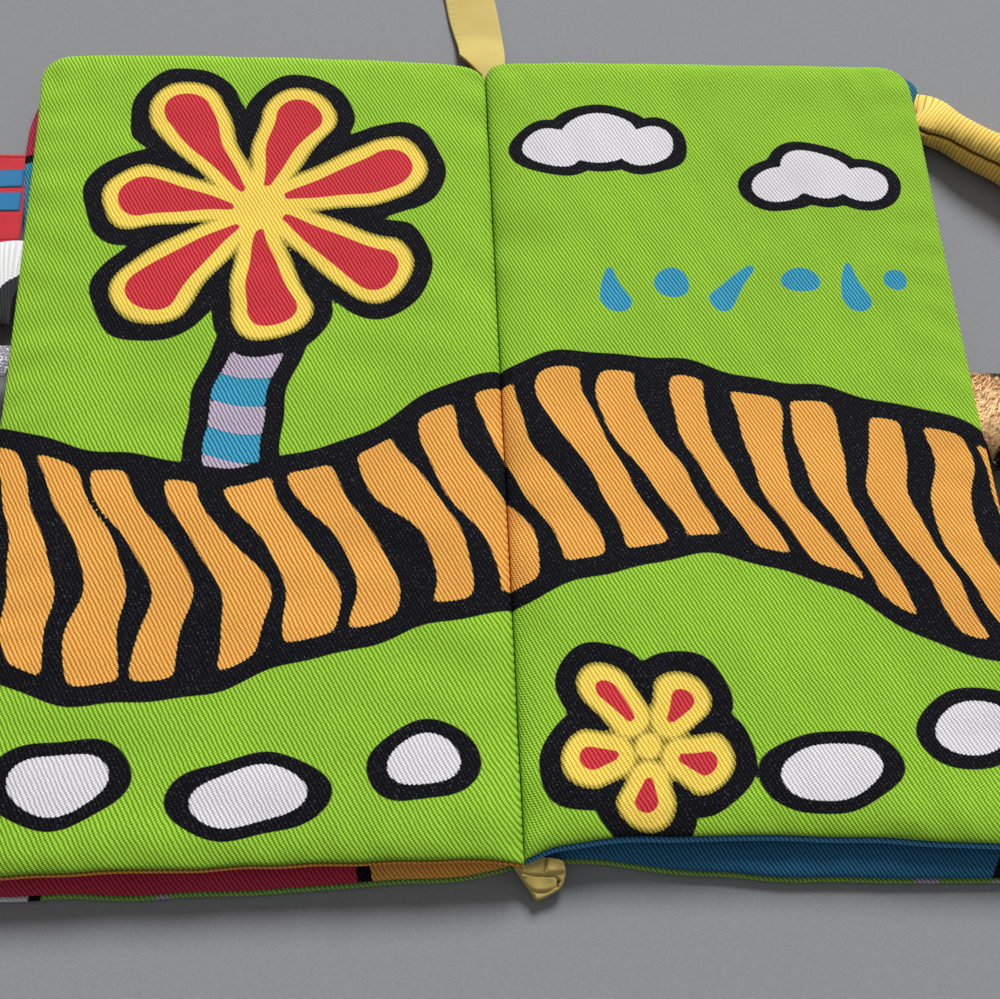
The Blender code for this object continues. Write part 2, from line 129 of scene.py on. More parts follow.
class Finish:
    """One material: a Principled shader, its constants, and the Values that feed its colour and relief."""

    def __init__(self, name, roughness, constants={}):
        self.material = bpy.data.materials.new(name)
        self.material.use_nodes = True
        self.tree = self.material.node_tree
        self.shader = self.tree.nodes["Principled BSDF"]
        self.shader.inputs["Roughness"].default_value = roughness
        for socket, number in constants.items():
            self.shader.inputs[socket].default_value = number

    def node(self, kind, values, output=0, **settings):
        """Adds a node, sets it up, feeds its sockets by name or number, and returns one of its outputs."""
        made = self.tree.nodes.new(kind)
        for name, setting in settings.items():
            setattr(made, name, setting)
        for place, value in values.items():
            if isinstance(value, Value):
                self.tree.links.new(value.socket, made.inputs[place])
            else:
                made.inputs[place].default_value = value
        return Value(self, made.outputs[output])

    def maths(self, operation, *numbers):
        return self.node("ShaderNodeMath", dict(enumerate(numbers)), operation=operation)

    def wave(self, turns):
        """Runs from 0 to 1 and back once a turn: half of one plus the cosine."""
        return self.maths("COSINE", turns * (2 * pi)) * 0.5 + 0.5

    def smooth(self, number, low, high):
        """0 below low, 1 above high, and an S between them."""
        return self.node("ShaderNodeMapRange", {0: number, 1: low, 2: high}, interpolation_type="SMOOTHSTEP")

    def mix(self, share, first, second):
        return self.node("ShaderNodeMix", {0: share, 6: first, 7: second}, 2, data_type="RGBA")

    def shade(self, colour, light):
        """A colour times a number."""
        return self.node("ShaderNodeMix", {0: 1.0, 6: colour, 7: light}, 2, data_type="RGBA",
                         blend_type="MULTIPLY")

    def place(self):
        """Object coordinates, in metres."""
        return self.node("ShaderNodeTexCoord", {}, 3)

    def millimetres(self):
        """The three numbers of the place, in millimetres."""
        place = self.place()
        return [self.node("ShaderNodeSeparateXYZ", {0: place}, axis) * 1000.0 for axis in range(3)]

    def near(self, number, inner, outer):
        """1 where a number is within inner of 0, 0 past outer, and an S between them."""
        return self.smooth(self.maths("ABSOLUTE", number), outer, inner)

    def attribute(self, name):
        """A number that the mesh carries at its points."""
        return self.node("ShaderNodeAttribute", {}, 2, attribute_name=name)

    def attributes(self, *names):
        return [self.attribute(name) for name in names]

    def noise(self, size, detail=2.0):
        """Soft noise around 0.5, with features of about that size in metres."""
        return self.node("ShaderNodeTexNoise", {"Vector": self.place(), "Scale": 1 / size, "Detail": detail})

    def done(self, colour, relief=None, depth=0.0001, roughness=None):
        """Feeds the shader: its colour, its relief as a height of 0 to 1 times a depth, and its roughness."""
        self.tree.links.new(colour.socket, self.shader.inputs["Base Color"])
        if relief:
            bump = self.node("ShaderNodeBump", {"Height": relief, "Distance": depth})
            self.tree.links.new(bump.socket, self.shader.inputs["Normal"])
        if roughness:
            self.tree.links.new(roughness.socket, self.shader.inputs["Roughness"])
        return self.material


def hue(red, green, blue):
    """A colour given as it looks on a screen, 0 to 255, turned into linear light."""
    share = np.array((red, green, blue)) / 255
    return (*np.where(share < 0.04, share / 12.92, ((share + 0.055) / 1.055) ** 2.4).tolist(), 1.0)


def add_mesh(name, points, faces, material, body=None, sharp=50, **attributes):
    """A smooth-shaded mesh in the CAD's frame, with a number at each point for every named attribute."""
    mesh = bpy.data.meshes.new(name)
    mesh.from_pydata(np.asarray(points).reshape(-1, 3), [], faces)
    mesh.materials.append(material)
    mesh.shade_smooth()
    mesh.set_sharp_from_angle(angle=radians(sharp))
    for key, numbers in attributes.items():
        mesh.attributes.new(key, "FLOAT", "POINT").data.foreach_set("value", np.ravel(numbers).astype(np.float32))
    made = link(name, mesh)
    if body:
        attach(made, body)
    return made


# The table is a plain pale sheet of fine-grained laminate. It is not part of the book.
TABLE_HALF, TABLE_DROP = 1.6, 0.0002
laminate = Finish("table_laminate", 0.8, {"Specular IOR Level": 0.2})
grain = laminate.noise(0.0005, 2.0)
corners = [(sx * TABLE_HALF, sy * TABLE_HALF, -TABLE_DROP) for sx, sy in ((-1, -1), (1, -1), (1, 1), (-1, 1))]
table = add_mesh("table", corners, [(0, 1, 2, 3)],
                 laminate.done(laminate.mix(grain, hue(124, 125, 127), hue(146, 147, 150)), grain, 0.00003))


# All panels are coarse cotton twill with a printed face. Its wales lean to the left, about a millimetre apart,
# and the threads that cross them leave small gaps. The ink follows the threads, so its edges are ragged. Shade
# is painted into the colour, deeper and darker in the weave's hollows and gaps, and a painted highlight makes it
# paler on its ridges. HOLLOW_SHADE and RIDGE_HIGHLIGHT give a power of the colour and a share.
WALE_PITCH, WALE_LEAN, WEAVE_DEPTH = 1.18, radians(62), 0.00013
FLOAT_LENGTH, FLOATS_A_WALE, FLOAT_DEPTH, GAP_HEIGHT = 0.506, 0.935, 0.42, 0.38
HOLLOW_SHADE, RIDGE_HIGHLIGHT, RAGGED = (2.6, 0.84), (0.60, 1.04), 0.16
BLACK, FLECK, YELLOW, YELLOW_RIM = hue(1, 1, 2), hue(36, 38, 44), hue(248, 220, 70), hue(160, 136, 20)
INKS = {"black": BLACK, "orange": hue(236, 168, 52), "yellow": YELLOW, "red": hue(210, 28, 36),
        "lilac": hue(184, 166, 190), "cyan": hue(30, 146, 188), "white": hue(227, 225, 228)}
LIME, OUTSIDE_GREEN, UNDER_BLUE = hue(138, 198, 26), hue(122, 176, 58), hue(44, 128, 186)
# LINING_BLUE is a darker navy than the lining's own blue: painted shade, since most of the lining that shows lies in
# the shadow of the leaves.
LINING_RED, LINING_BLUE = hue(186, 22, 48), hue(18, 84, 136)


def twill(finish):
    """Height of the weave, 0 to 1: a cosine of x + y / tan(lean) over the pitch gives the wales, and one of y
    over the float length less nearly a turn a wale gives the threads that cross them squarely."""
    x, y, z = finish.millimetres()
    drift = finish.noise(0.012) * 0.9 + finish.noise(0.0020) * 0.5
    wales = (x + (y + z) / tan(WALE_LEAN)) / WALE_PITCH + drift
    floats = finish.wave((y + z) / FLOAT_LENGTH - wales * FLOATS_A_WALE)
    ridge = finish.smooth(finish.wave(wales), 0.02, 0.66)
    return ridge * (floats * FLOAT_DEPTH + (1 - FLOAT_DEPTH)) + floats * GAP_HEIGHT * (1 - ridge)


def printed_twill(name, ground, inks):
    """Twill dyed with a ground colour and printed with inks, each where the attribute of its name, in mm, is
    above 0."""
    finish = Finish(name, 0.88, {"Specular IOR Level": 0.1})
    weave = twill(finish)
    grit = finish.noise(0.0004, 1.0)
    ragged = weave * 0.20 + grit * 0.3 - 0.25
    fleck = finish.smooth(grit, 0.60, 0.74) * weave
    colour = ground
    for shape in inks:
        depth, ink = finish.attribute(shape), INKS[shape]
        if shape == "black":
            ink = finish.mix(fleck, BLACK, FLECK)
        if shape == "yellow":
            ink = finish.mix(finish.smooth(depth, 0.0, 1.5), YELLOW_RIM, YELLOW)
        colour = finish.mix(finish.smooth(depth + ragged, -RAGGED, RAGGED), colour, ink)
    # Painted shade in the weave's hollows and a painted highlight on its ridges.
    deep, pale = [finish.shade(finish.node("ShaderNodeGamma", {0: colour, 1: power}), (share, share, share, 1.0))
                  for power, share in (HOLLOW_SHADE, RIDGE_HIGHLIGHT)]
    light = finish.noise(0.03, 3.0) * 0.20 + grit * 0.30 + 0.71
    return finish.done(finish.shade(finish.mix(weave, deep, pale), light), weave, WEAVE_DEPTH)


# A leaf is a padded panel: a top cloth and an under cloth, sewn round the edge and turned, so that both roll
# into one seam, with wadding and a crackling film between them. It swells from its seams as the CAD leaf does.
SPINE_SHOULDER, FORE_SHOULDER, END_SHOULDER, BELLY_SHOULDER = 0.022, 0.024, 0.010, 0.009
CORNER_RADIUS, CLOTH, CLEARANCE, SEAM, LINE_WOBBLE = 0.009, 0.0006, 0.0003, 0.0015, 0.00022
BROAD_WAVE, SMALL_WAVE, PUCKER, VALLEY_FOLD, PUCKER_RUN = 0.00028, 0.00010, 0.00024, 0.00035, 0.011
TOP_SHORT, TOP_ROUND, ROLL_GROWS, FINE_STEP, UNDER_STEP = 0.0002, 0.0009, 0.035, 0.00012, 0.0018
WADDING_IN, WADDING_LOW, FLUFF = 0.006, 0.0004, 0.00012


def unit(number):
    """Held between 0 and 1."""
    return np.clip(number, 0, 1)


def bell(away, reach):
    """1 at 0, and soon 0 past the reach: e to the power of minus the square of their ratio."""
    return np.exp(-(away / reach) ** 2)


def shoulder(share):
    """Quarter of an ellipse: 0 at a seam, steep there, and 1 from the end of the shoulder on."""
    return np.sqrt(1 - (1 - np.clip(share, 0, 1)) ** 2)


def ease(share):
    """An S from 0 to 1: three squares of the share less two cubes."""
    share = unit(share)
    return share * share * (3 - 2 * share)


def seam_steps(length, fine, coarse, growing=14):
    """Places from 0 to a length: close together at both ends, where they grow from fine to coarse steps."""
    ends = np.append(0, np.cumsum(np.linspace(fine, coarse, growing)))
    middle = np.linspace(ends[-1], length - ends[-1], int((length - 2 * ends[-1]) / coarse) + 2)
    return np.concatenate((ends, middle[1:-1], length - ends[::-1]))


def soft_line(places, at, reach):
    """A line through places given as pairs, averaged over a reach to either side so that it has no corners."""
    shifts = np.linspace(-reach, reach, 9)
    return np.mean([np.interp(at + shift, places[:, 0], places[:, 1]) for shift in shifts], axis=0)


def ripples(x, y, seed, length):
    """Irregular soft waves: seven plane waves of about that length, in random directions from one seed."""
    dice = np.random.default_rng(seed)
    total = 0
    turns, phases, stretches = dice.uniform(0, 2 * pi, 7), dice.uniform(0, 2 * pi, 7), dice.uniform(0.7, 1.5, 7)
    for turn, phase, stretch in zip(turns, phases, stretches):
        total = total + np.sin(2 * pi * (x * np.cos(turn) + y * np.sin(turn)) / (length * stretch) + phase)
    return total / 7 ** 0.5


class Leaf:
    """Sizes of one leaf, read from its CAD cloths, and the grid of places that its cloths share."""

    def __init__(self, body, side, top, under, lift, seed, head, foot, fore):
        low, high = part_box(top)
        self.body, self.side, self.seed, self.lift = body, side, seed, lift
        self.top_node, self.under_node = top, under
        self.start = 0.0001 if min(abs(low.x), abs(high.x)) < 0.001 else 0.0018
        self.width = max(abs(low.x), abs(high.x))
        self.reach = high.y
        self.crown = high.z
        self.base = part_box(under)[0].z
        self.head, self.foot, self.fore = (np.array(places) / 1000 for places in (head, foot, fore))

    def grid(self, past, fine, coarse, start=None, fore_share=1.0):
        """x, y and the distances r from the spine, end from the head or foot and fore from the fore-edge,
        over the leaf's outline moved out by past. The corners at the fore-edge are quarter circles."""
        first = self.start if start is None else start
        r = first + seam_steps(self.width + past * fore_share - first, fine, coarse)
        along = np.clip(r / self.width, 0, 1)
        radius = CORNER_RADIUS + past
        round_off = radius - np.sqrt(radius ** 2 - np.clip(r - self.width - past + radius, 0, radius) ** 2)
        head, foot = [soft_line(line, r, reach) + past - round_off + LINE_WOBBLE * ripples(r, 0, seed, 0.024)
                      for line, reach, seed in ((self.head, 0.0012, self.seed + 8), (self.foot, 0.003, self.seed + 9))]
        v = seam_steps(2 * self.reach, fine, coarse)[:, None] / (2 * self.reach)
        y = -foot + (head + foot) * v
        drawn = (self.width - soft_line(self.fore, y, 0.006)) * along ** 4
        r = r + 0 * y
        return {"x": self.side * (r - drawn), "y": y, "r": r, "fore": self.width + past * (fore_share - 1) - r,
                "end": np.minimum(head - y, y + foot) - past}

    def seam(self, g):
        """Height of the leaf's underside at its seams: it lifts from the spine to the fore-edge."""
        return self.base + self.lift * shoulder((g["r"] - self.start) / SPINE_SHOULDER)

    def top(self, g):
        """Upper face: the seam's top, then up to the crown over the shoulders, with soft creases on the way."""
        rise = shoulder((g["r"] - self.start) / SPINE_SHOULDER) * shoulder(g["fore"] / FORE_SHOULDER)
        rise = rise * shoulder(g["end"] / END_SHOULDER)
        seam_top = self.seam(g) + SEAM
        return seam_top + (self.crown - seam_top) * rise + self.creases(g)

    def under(self, g):
        """Lower face: flat where it rests, and up to the seam's underside over the belly's shoulder."""
        belly = shoulder(g["fore"] / BELLY_SHOULDER) * shoulder(g["end"] / BELLY_SHOULDER)
        return self.base + (self.seam(g) - self.base) * (1 - belly)

    def creases(self, g):
        """Broad waves, puckers that run in from the seams, and folds that cross the spine's valley."""
        x, y, edge = g["x"], g["y"], np.clip(np.minimum(g["end"], g["fore"]), 0, 1)
        broad = BROAD_WAVE * ripples(x, y, self.seed, 0.055) + SMALL_WAVE * ripples(x, y, self.seed + 1, 0.017)
        ends = np.sin(2 * pi * x / 0.0125 + 2.0 * ripples(x, y, self.seed + 2, 0.06)) * np.exp(-g["end"] / PUCKER_RUN)
        fore = np.sin(2 * pi * y / 0.0135 + 2.0 * ripples(x, y, self.seed + 3, 0.06)) * np.exp(-g["fore"] / PUCKER_RUN)
        valley = np.sin(2 * pi * y / 0.037 + 2.4 * ripples(x, y, self.seed + 4, 0.08)) * np.exp(-g["r"] / 0.012)
        return (broad + PUCKER * (ends + fore) + VALLEY_FOLD * valley) * unit(edge / 0.004)


def slab_faces(rows, columns, flipped):
    """Quads of a closed slab: an upper grid, a lower grid after it, and a wall between their borders."""
    upper = np.arange(rows * columns).reshape(rows, columns)
    quads = np.stack((upper[:-1, :-1], upper[:-1, 1:], upper[1:, 1:], upper[1:, :-1]), -1).reshape(-1, 4)
    border = np.concatenate((upper[0, :-1], upper[:-1, -1], upper[-1, :0:-1], upper[:0:-1, 0]))
    following = np.roll(border, -1)
    wall = np.stack((border + upper.size, following + upper.size, following, border), -1)
    faces = np.concatenate((quads, quads[:, ::-1] + upper.size, wall))
    return (faces[:, ::-1] if flipped else faces).tolist()


def add_slab(name, x, y, upper, lower, material, body=None, flipped=False, **fields):
    """A closed slab between two height grids, with the same fields at its upper and lower points."""
    points = np.stack([np.stack(np.broadcast_arrays(x, y, z), -1) for z in (upper, lower)])
    rows, columns = points.shape[1:3]
    doubled = {key: np.stack([np.broadcast_to(field, (rows, columns))] * 2) for key, field in fields.items()}
    return add_mesh(name, points, slab_faces(rows, columns, flipped), material, body, **doubled)


def add_leaf(leaf, top_finish, under_finish, top_print, under_print, roll, coarse):
    """The two cloths and the wadding of one leaf. The under cloth rolls out past the top cloth at the seam, and
    each cloth thins or closes in half an ellipse there."""
    flipped = leaf.side < 0
    g = leaf.grid(-TOP_SHORT, FINE_STEP, coarse)
    rim = unit(1 - (np.minimum(g["end"], g["fore"]) + TOP_SHORT) / TOP_ROUND)
    upper = leaf.top(g) - (SEAM / 2 - CLEARANCE / 2) * (1 - np.sqrt(1 - rim ** 2))
    lower = upper - CLOTH * (1 - 0.8 * rim ** 3)
    piece = add_slab(leaf.top_node.replace("_cloth", "_panel").replace("lining", "lining_panel"), g["x"], g["y"],
                     upper, lower, top_finish, leaf.body, flipped, **top_print(g["x"] * 1000, g["y"] * 1000))
    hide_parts(leaf.top_node)

    past = roll * 1.15
    g = leaf.grid(past, FINE_STEP, UNDER_STEP, None, 0.3)
    edge = unit(np.minimum(g["end"], g["fore"]) + past)
    slim = roll * (0.35 + 0.65 * shoulder(g["r"] / ROLL_GROWS))
    centre = leaf.seam(g) + SEAM / 2 - CLEARANCE / 2 - slim
    half = slim * np.sqrt(1 - unit(1 - edge / roll) ** 2)
    into = ease((edge - roll) / (2.2 * roll))
    lower = (centre - half) * (1 - into) + leaf.under(g) * into
    upper = (centre + half) * (1 - into) + (leaf.under(g) + CLOTH) * into
    piece = add_slab(leaf.under_node.replace("_cloth", "_panel"), g["x"], g["y"], upper, lower, under_finish,
                     leaf.body, flipped, **under_print(g["x"] * 1000, g["y"] * 1000))
    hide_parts(leaf.under_node)

    wadding = leaf.body + "_wadding"
    g = leaf.grid(-WADDING_IN, 0.0010, 0.0032, leaf.start + WADDING_IN + 0.001)
    film_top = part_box(leaf.body + "_crinkle_film")[1].z + CLEARANCE
    upper = np.maximum(leaf.top(g) - CLOTH - CLEARANCE - WADDING_LOW, film_top + 0.0002)
    fluff = FLUFF * (1 + ripples(g["x"], g["y"], leaf.seed + 5, 0.006) / 3)
    piece = add_slab(wadding + "_fill", g["x"], g["y"], upper - fluff, film_top, wadding_finish, leaf.body, flipped)
    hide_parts(wadding)


# The wadding is a sheet of soft white polyester fibre. Under it lies the film that crackles: thin, stiff and
# milky, cut a little smaller than the leaf so that it stays out of the seams, and crumpled all over.
CRUMPLE_HEIGHT, FINE_CRUMPLE = 0.00011, 0.00005
fibre = Finish("wadding_fibre", 0.95, {"Sheen Weight": 0.3})
strands = fibre.noise(0.0014, 4.0)
wadding_finish = fibre.done(fibre.mix(strands, hue(222, 222, 219), hue(246, 246, 243)), strands, 0.0005)
film = Finish("crackling_film", 0.18, {"Coat Weight": 0.4})
crumple = film.node("ShaderNodeTexVoronoi", {"Vector": film.place(), "Scale": 130.0}, 0)
film_finish = film.done(film.mix(crumple, hue(196, 208, 216), hue(228, 234, 238)), crumple, 0.0006)
for body in ("front_cover", "left_leaf", "right_leaf", "back_cover"):
    low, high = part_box(body + "_crinkle_film")
    x, y = np.meshgrid(np.linspace(low.x, high.x, 84), np.linspace(low.y, high.y, 150))
    crackle = CRUMPLE_HEIGHT * np.abs(ripples(x, y, 71, 0.007)).clip(0, 1.4)
    upper = high.z + crackle + FINE_CRUMPLE * ripples(x, y, 72, 0.003)
    sheet = add_slab(body + "_film_sheet", x, y, upper, upper - (high.z - low.z), film_finish, body)
    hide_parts(body + "_crinkle_film")


# The print of the open spread runs across both pages: a striped winding band, a flower on a banded stem,
# clouds, pebbles and a row of small blue shapes. Each colour is a field that gives how deep a point lies in it,
# in millimetres, and the black is drawn round them all.
OUTLINE, BAND_HALF, STRIPE_STEP, BAR_STEP = 5.4, 26, 17, 8.4
BIG_FLOWER, SMALL_FLOWER = (-70.0, 66.0), (32.0, -98.0)
PEBBLES = ((-112, -103, 12, 0.62), (-66, -108, 14, 0.5), (-24, -101, 9, 0.7), (78, -106, 13, 0.55),
           (116, -96, 10, 0.7))
CLOUD_PUFFS = ((20, 88, 9), (34, 93, 12), (49, 89, 9), (88, 74, 8), (101, 79, 11), (115, 75, 8))


def disc(x, y, place, radius, squeeze=1.0):
    """How deep a point lies in a disc; squeeze below 1 flattens it."""
    return radius - np.hypot(x - place[0], (y - place[1]) / squeeze)


def petal(x, y, start, end, narrow, wide):
    """How deep a point lies in a round-ended wedge that grows from a narrow to a wide radius."""
    run = np.subtract(end, start)
    share = unit(((x - start[0]) * run[0] + (y - start[1]) * run[1]) / (run @ run))
    away = np.hypot(x - start[0] - share * run[0], y - start[1] - share * run[1])
    return narrow + (wide - narrow) * share - away


def rounded_least(first, second, radius):
    """The lesser of two fields, with the corner between them rounded."""
    return -radius * np.logaddexp(-first / radius, -second / radius)


def hand_cut(x, y):
    """Moves places by about a millimetre, a long and a short wave each way, so that edges look cut by hand."""
    return (x + 0.8 * np.sin(y / 6.3 + 0.5) + 0.35 * np.sin(y / 2.7),
            y + 0.8 * np.sin(x / 5.9 + 2) + 0.35 * np.sin(x / 3.1))


def flower(x, y, middle, petals, length, wide, turn):
    """The greatest of a ring of wedges round a middle."""
    field = np.full_like(x, -99.0)
    for angle in turn + 2 * pi * np.arange(petals) / petals:
        way = np.array((np.cos(angle), np.sin(angle)))
        long = length * (1 + 0.10 * np.sin(3.7 * angle))
        field = np.maximum(field, petal(x, y, middle + way * 9, middle + way * long, 1.2, wide))
    return field


def spread_print(x, y):
    """Fields of the spread's seven inks, in millimetres."""
    x, y = hand_cut(x, y)
    middle_line = -34 + 17 * np.sin((x + 25) / 41)
    slope = 17 / 41 * np.cos((x + 25) / 41)
    level = (y - middle_line) / np.sqrt(1 + slope ** 2)
    band = BAND_HALF + 3 * np.sin(x / 19 + 1) - np.abs(level)
    run = x + 0.30 * level + 4 * np.sin(level / 10 + x / 60)
    number = np.round(run / STRIPE_STEP)
    stripe = 3.1 + 1.0 * np.sin(number * 2.3) + 1.1 * np.sin(level / 8 + number * 1.7)
    orange = rounded_least(band, np.abs(run - STRIPE_STEP * number) - stripe, 0.9)

    core = np.maximum(flower(x, y, np.array(BIG_FLOWER), 7, 38, 7.2, 0.35),
                      flower(x, y, np.array(SMALL_FLOWER), 5, 15, 3.0, 0.9))
    heart = np.maximum(disc(x, y, BIG_FLOWER, 7.5), disc(x, y, SMALL_FLOWER, 4.0))
    yellow = np.maximum(core + 4.6, heart)
    stem_line = BIG_FLOWER[0] + 5 * np.sin((y - 10) / 17)
    stem = np.minimum(7.6 - np.abs(x - stem_line), np.minimum(BIG_FLOWER[1] - y, y - middle_line))
    bars = BAR_STEP / pi * np.sin(pi * (y + 0.22 * (x - stem_line)) / BAR_STEP)
    shown = np.minimum(stem, np.minimum(-(band + OUTLINE), -(yellow + OUTLINE)))

    stones = [disc(x, y, (px, py), radius, squeeze) * squeeze ** 0.5 for px, py, radius, squeeze in PEBBLES]
    puffs = [disc(x, y, (px, py), radius, 0.8) for px, py, radius in CLOUD_PUFFS]
    white = np.max(stones + puffs, axis=0)
    drops = [petal(x, y, (34, 44), (34, 34), 1.0, 4.6), disc(x, y, (52, 38), 5.2),
             petal(x, y, (65, 33), (76, 44), 3.4, 1.4), disc(x, y, (91, 39), 6.0, 0.7),
             petal(x, y, (106, 34), (106, 46), 4.4, 1.0), disc(x, y, (120, 40), 3.6)]
    black = np.max([band + OUTLINE, stem + OUTLINE, yellow + OUTLINE, white + OUTLINE * 0.8], axis=0)
    return {"black": black, "orange": orange, "yellow": yellow, "red": core - heart.clip(0, 1),
            "lilac": np.minimum(shown, -bars), "cyan": np.maximum(np.minimum(shown, bars), np.max(drops, axis=0)),
            "white": white}


spread_page = printed_twill("spread_print", LIME, INKS)


# The other panels carry simpler prints: large patches with black outlines on red, orange and blue, and
# small lilac spots on the green outside.
PATCH_OUTLINE, SPOT_STEP, SPOT_RADIUS, END_RADIUS = 3.6, 17, 3.1, 17


def patches(places):
    """A print of discs: each place is x, y, radius and ink. Black lies round them all."""
    def fields(x, y):
        x, y = hand_cut(x, y)
        found = {"black": np.full_like(x, -99.0)}
        for px, py, radius, ink in places:
            field = disc(x, y, (px, py), radius, 0.85)
            found[ink] = np.maximum(found.get(ink, -99.0), field)
            found["black"] = np.maximum(found["black"], field + PATCH_OUTLINE)
        return found
    return fields


def spotted(ends):
    """Small spots on a leaning lattice, each moved a little, and white patches at the ends."""
    def fields(x, y):
        row = np.round(y / SPOT_STEP)
        column = np.round(x / SPOT_STEP - 0.4 * row)
        centre_x = SPOT_STEP * (column + 0.4 * row) + 4 * np.sin(column * 5.1 + row * 2.3)
        centre_y = SPOT_STEP * row + 4 * np.sin(column * 1.7 + row * 4.1)
        white = np.max([disc(x, y, place, END_RADIUS, 0.9) for place in ends], axis=0)
        return {"lilac": disc(x, y, (centre_x, centre_y), SPOT_RADIUS), "black": white + 3, "white": white}
    return fields


RED_PATCHES = ((-14, -122, 24, "orange"), (-146, 62, 31, "cyan"), (-60, 30, 22, "orange"), (-108, -30, 20, "yellow"),
               (-52, -52, 17, "cyan"), (-40, 96, 18, "yellow"), (-104, 104, 16, "orange"))
ORANGE_PATCHES = ((-30, 60, 20, "yellow"), (-92, 84, 22, "red"), (-66, -8, 24, "cyan"), (-114, -66, 20, "yellow"),
                  (-34, -84, 18, "red"))
BLUE_PATCHES = ((36, 78, 20, "white"), (96, 50, 24, "lilac"), (44, -6, 22, "yellow"), (104, -58, 22, "white"),
                (52, -88, 16, "lilac"))
LINING_PATCHES = ((60, 60, 24, "lilac"), (112, 4, 20, "white"), (48, -24, 18, "yellow"), (90, -70, 20, "lilac"),
                  (142, -137, 22, "white"))
# The head and the foot of a leaf are given as distances from the spine and how far it reaches there, and its
# fore-edge as places along the spine and its distance, all in millimetres. Hand sewing left no edge straight.
left_leaf = Leaf(
    "left_leaf", -1, "left_leaf_top_cloth", "left_leaf_under_cloth", 0.0025, 11,
    ((0, 119.4), (1.5, 120.8), (3, 122.0), (6, 122.9), (11, 123.4), (16, 123.8), (27, 124.2), (59, 125.2),
     (105, 125.7), (138, 125.0)),
    ((0, 125.6), (6, 124.6), (40, 124.0), (100, 124.2), (138, 124.8)),
    ((-125, 137.6), (0, 136.9), (60, 137.2), (100, 137.6), (125, 138.2)))
right_leaf = Leaf(
    "right_leaf", 1, "right_leaf_top_cloth", "right_leaf_under_cloth", 0.0025, 23,
    ((0, 119.6), (0.7, 122.2), (2, 123.8), (6, 124.3), (24, 124.5), (70, 124.3), (119, 124.1), (138, 124.2)),
    ((0, 125.2), (5, 122.5), (9, 121.4), (19, 120.5), (43, 120.6), (58, 120.9), (81, 122.1), (118, 125.0),
     (138, 126.0)),
    ((-125, 137.8), (0, 137.0), (66, 137.6), (95, 138.2), (125, 138.0)))
front_cover = Leaf(
    "front_cover", -1, "front_cover_lining", "front_cover_outer_cloth", 0.0010, 37,
    ((0, 123.0), (6, 125.5), (14, 127.6), (40, 128.4), (100, 128.2), (142, 128.8)),
    ((0, 124.6), (6, 126.2), (13, 127.1), (25, 127.4), (54, 128.3), (78, 128.9), (102, 128.7), (142, 127.6)),
    ((-128, 141.8), (0, 138.9), (57, 139.2), (92, 142.6), (107, 141.8), (113, 139.4), (118, 138.2), (128, 137.6)))
back_cover = Leaf(
    "back_cover", 1, "back_cover_lining", "back_cover_outer_cloth", 0.0010, 53,
    ((0, 123.0), (6, 125.5), (14, 127.0), (40, 127.4), (100, 127.0), (142, 127.6)),
    ((0, 123.6), (12, 124.1), (19, 124.6), (29, 126.2), (44, 128.1), (59, 129.6), (82, 131.1), (120, 132.7),
     (142, 132.9)),
    ((-132, 141.5), (0, 140.2), (88, 140.4), (98, 139.2), (114, 139.2), (118, 145.2), (125, 146.0), (129, 144.4)))


def patched_twill(name, ground, places):
    """Twill with a print of patches: black first, then the patches' own inks."""
    return printed_twill(name, ground, ["black", *sorted({place[3] for place in places})])


outside = printed_twill("outside_print", OUTSIDE_GREEN, ("lilac", "black", "white"))
add_leaf(left_leaf, spread_page, patched_twill("orange_print", INKS["orange"], ORANGE_PATCHES), spread_print,
         patches(ORANGE_PATCHES), 0.00045, 0.0012)
add_leaf(right_leaf, spread_page, patched_twill("blue_under_print", UNDER_BLUE, BLUE_PATCHES), spread_print,
         patches(BLUE_PATCHES), 0.00085, 0.0012)
add_leaf(front_cover, patched_twill("red_lining_print", LINING_RED, RED_PATCHES), outside,
         patches(RED_PATCHES), spotted(((-136, -128), (-60, 140))), 0.0007, 0.0018)
add_leaf(back_cover, patched_twill("blue_lining_print", LINING_BLUE, LINING_PATCHES), outside,
         patches(LINING_PATCHES), spotted(((142, -130), (50, 140))), 0.0007, 0.0018)


# The spine is a bound ridge of the cover cloth: all the leaves' spine edges lie in it, held by one row of long
# stitches down its back.
SPINE_RIDGE, RIDGE_HALF, SPINE_SHORT, SPINE_END, SPINE_RINGS, SPINE_SIDES = 0.00035, 0.0006, 0.0042, 0.0015, 650, 48
low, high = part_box("spine_binding")
turn = np.linspace(0, 2 * pi, SPINE_SIDES + 1)[:-1]
y = np.linspace(low.y + SPINE_SHORT, high.y, SPINE_RINGS)[:, None]
close = shoulder(np.minimum(high.y - y, y - low.y - SPINE_SHORT) / SPINE_END)
gather = 1 + 0.05 * ripples(0 * turn, y, 61, 0.02) * np.abs(np.sin(turn))
x = high.x * np.sign(np.cos(turn)) * np.abs(np.cos(turn)) ** 0.8 * close * gather
z = (low.z + high.z) / 2 + (high.z - low.z) / 2 * np.sin(turn) * close
z = np.maximum(z - SPINE_RIDGE * bell(x, RIDGE_HALF) * (np.sin(turn) < 0), -TABLE_DROP / 2)


def tube_faces(rings, sides, flipped=False):
    """Quads round a closed tube of rings, with a fan at each end."""
    grid = np.arange(rings * sides).reshape(rings, sides)
    turned = np.roll(grid, -1, 1)
    quads = np.stack((grid[:-1], turned[:-1], turned[1:], grid[1:]), -1).reshape(-1, 4).tolist()
    faces = quads + [grid[0, ::-1].tolist(), grid[-1].tolist()]
    return [face[::-1] for face in faces] if flipped else faces


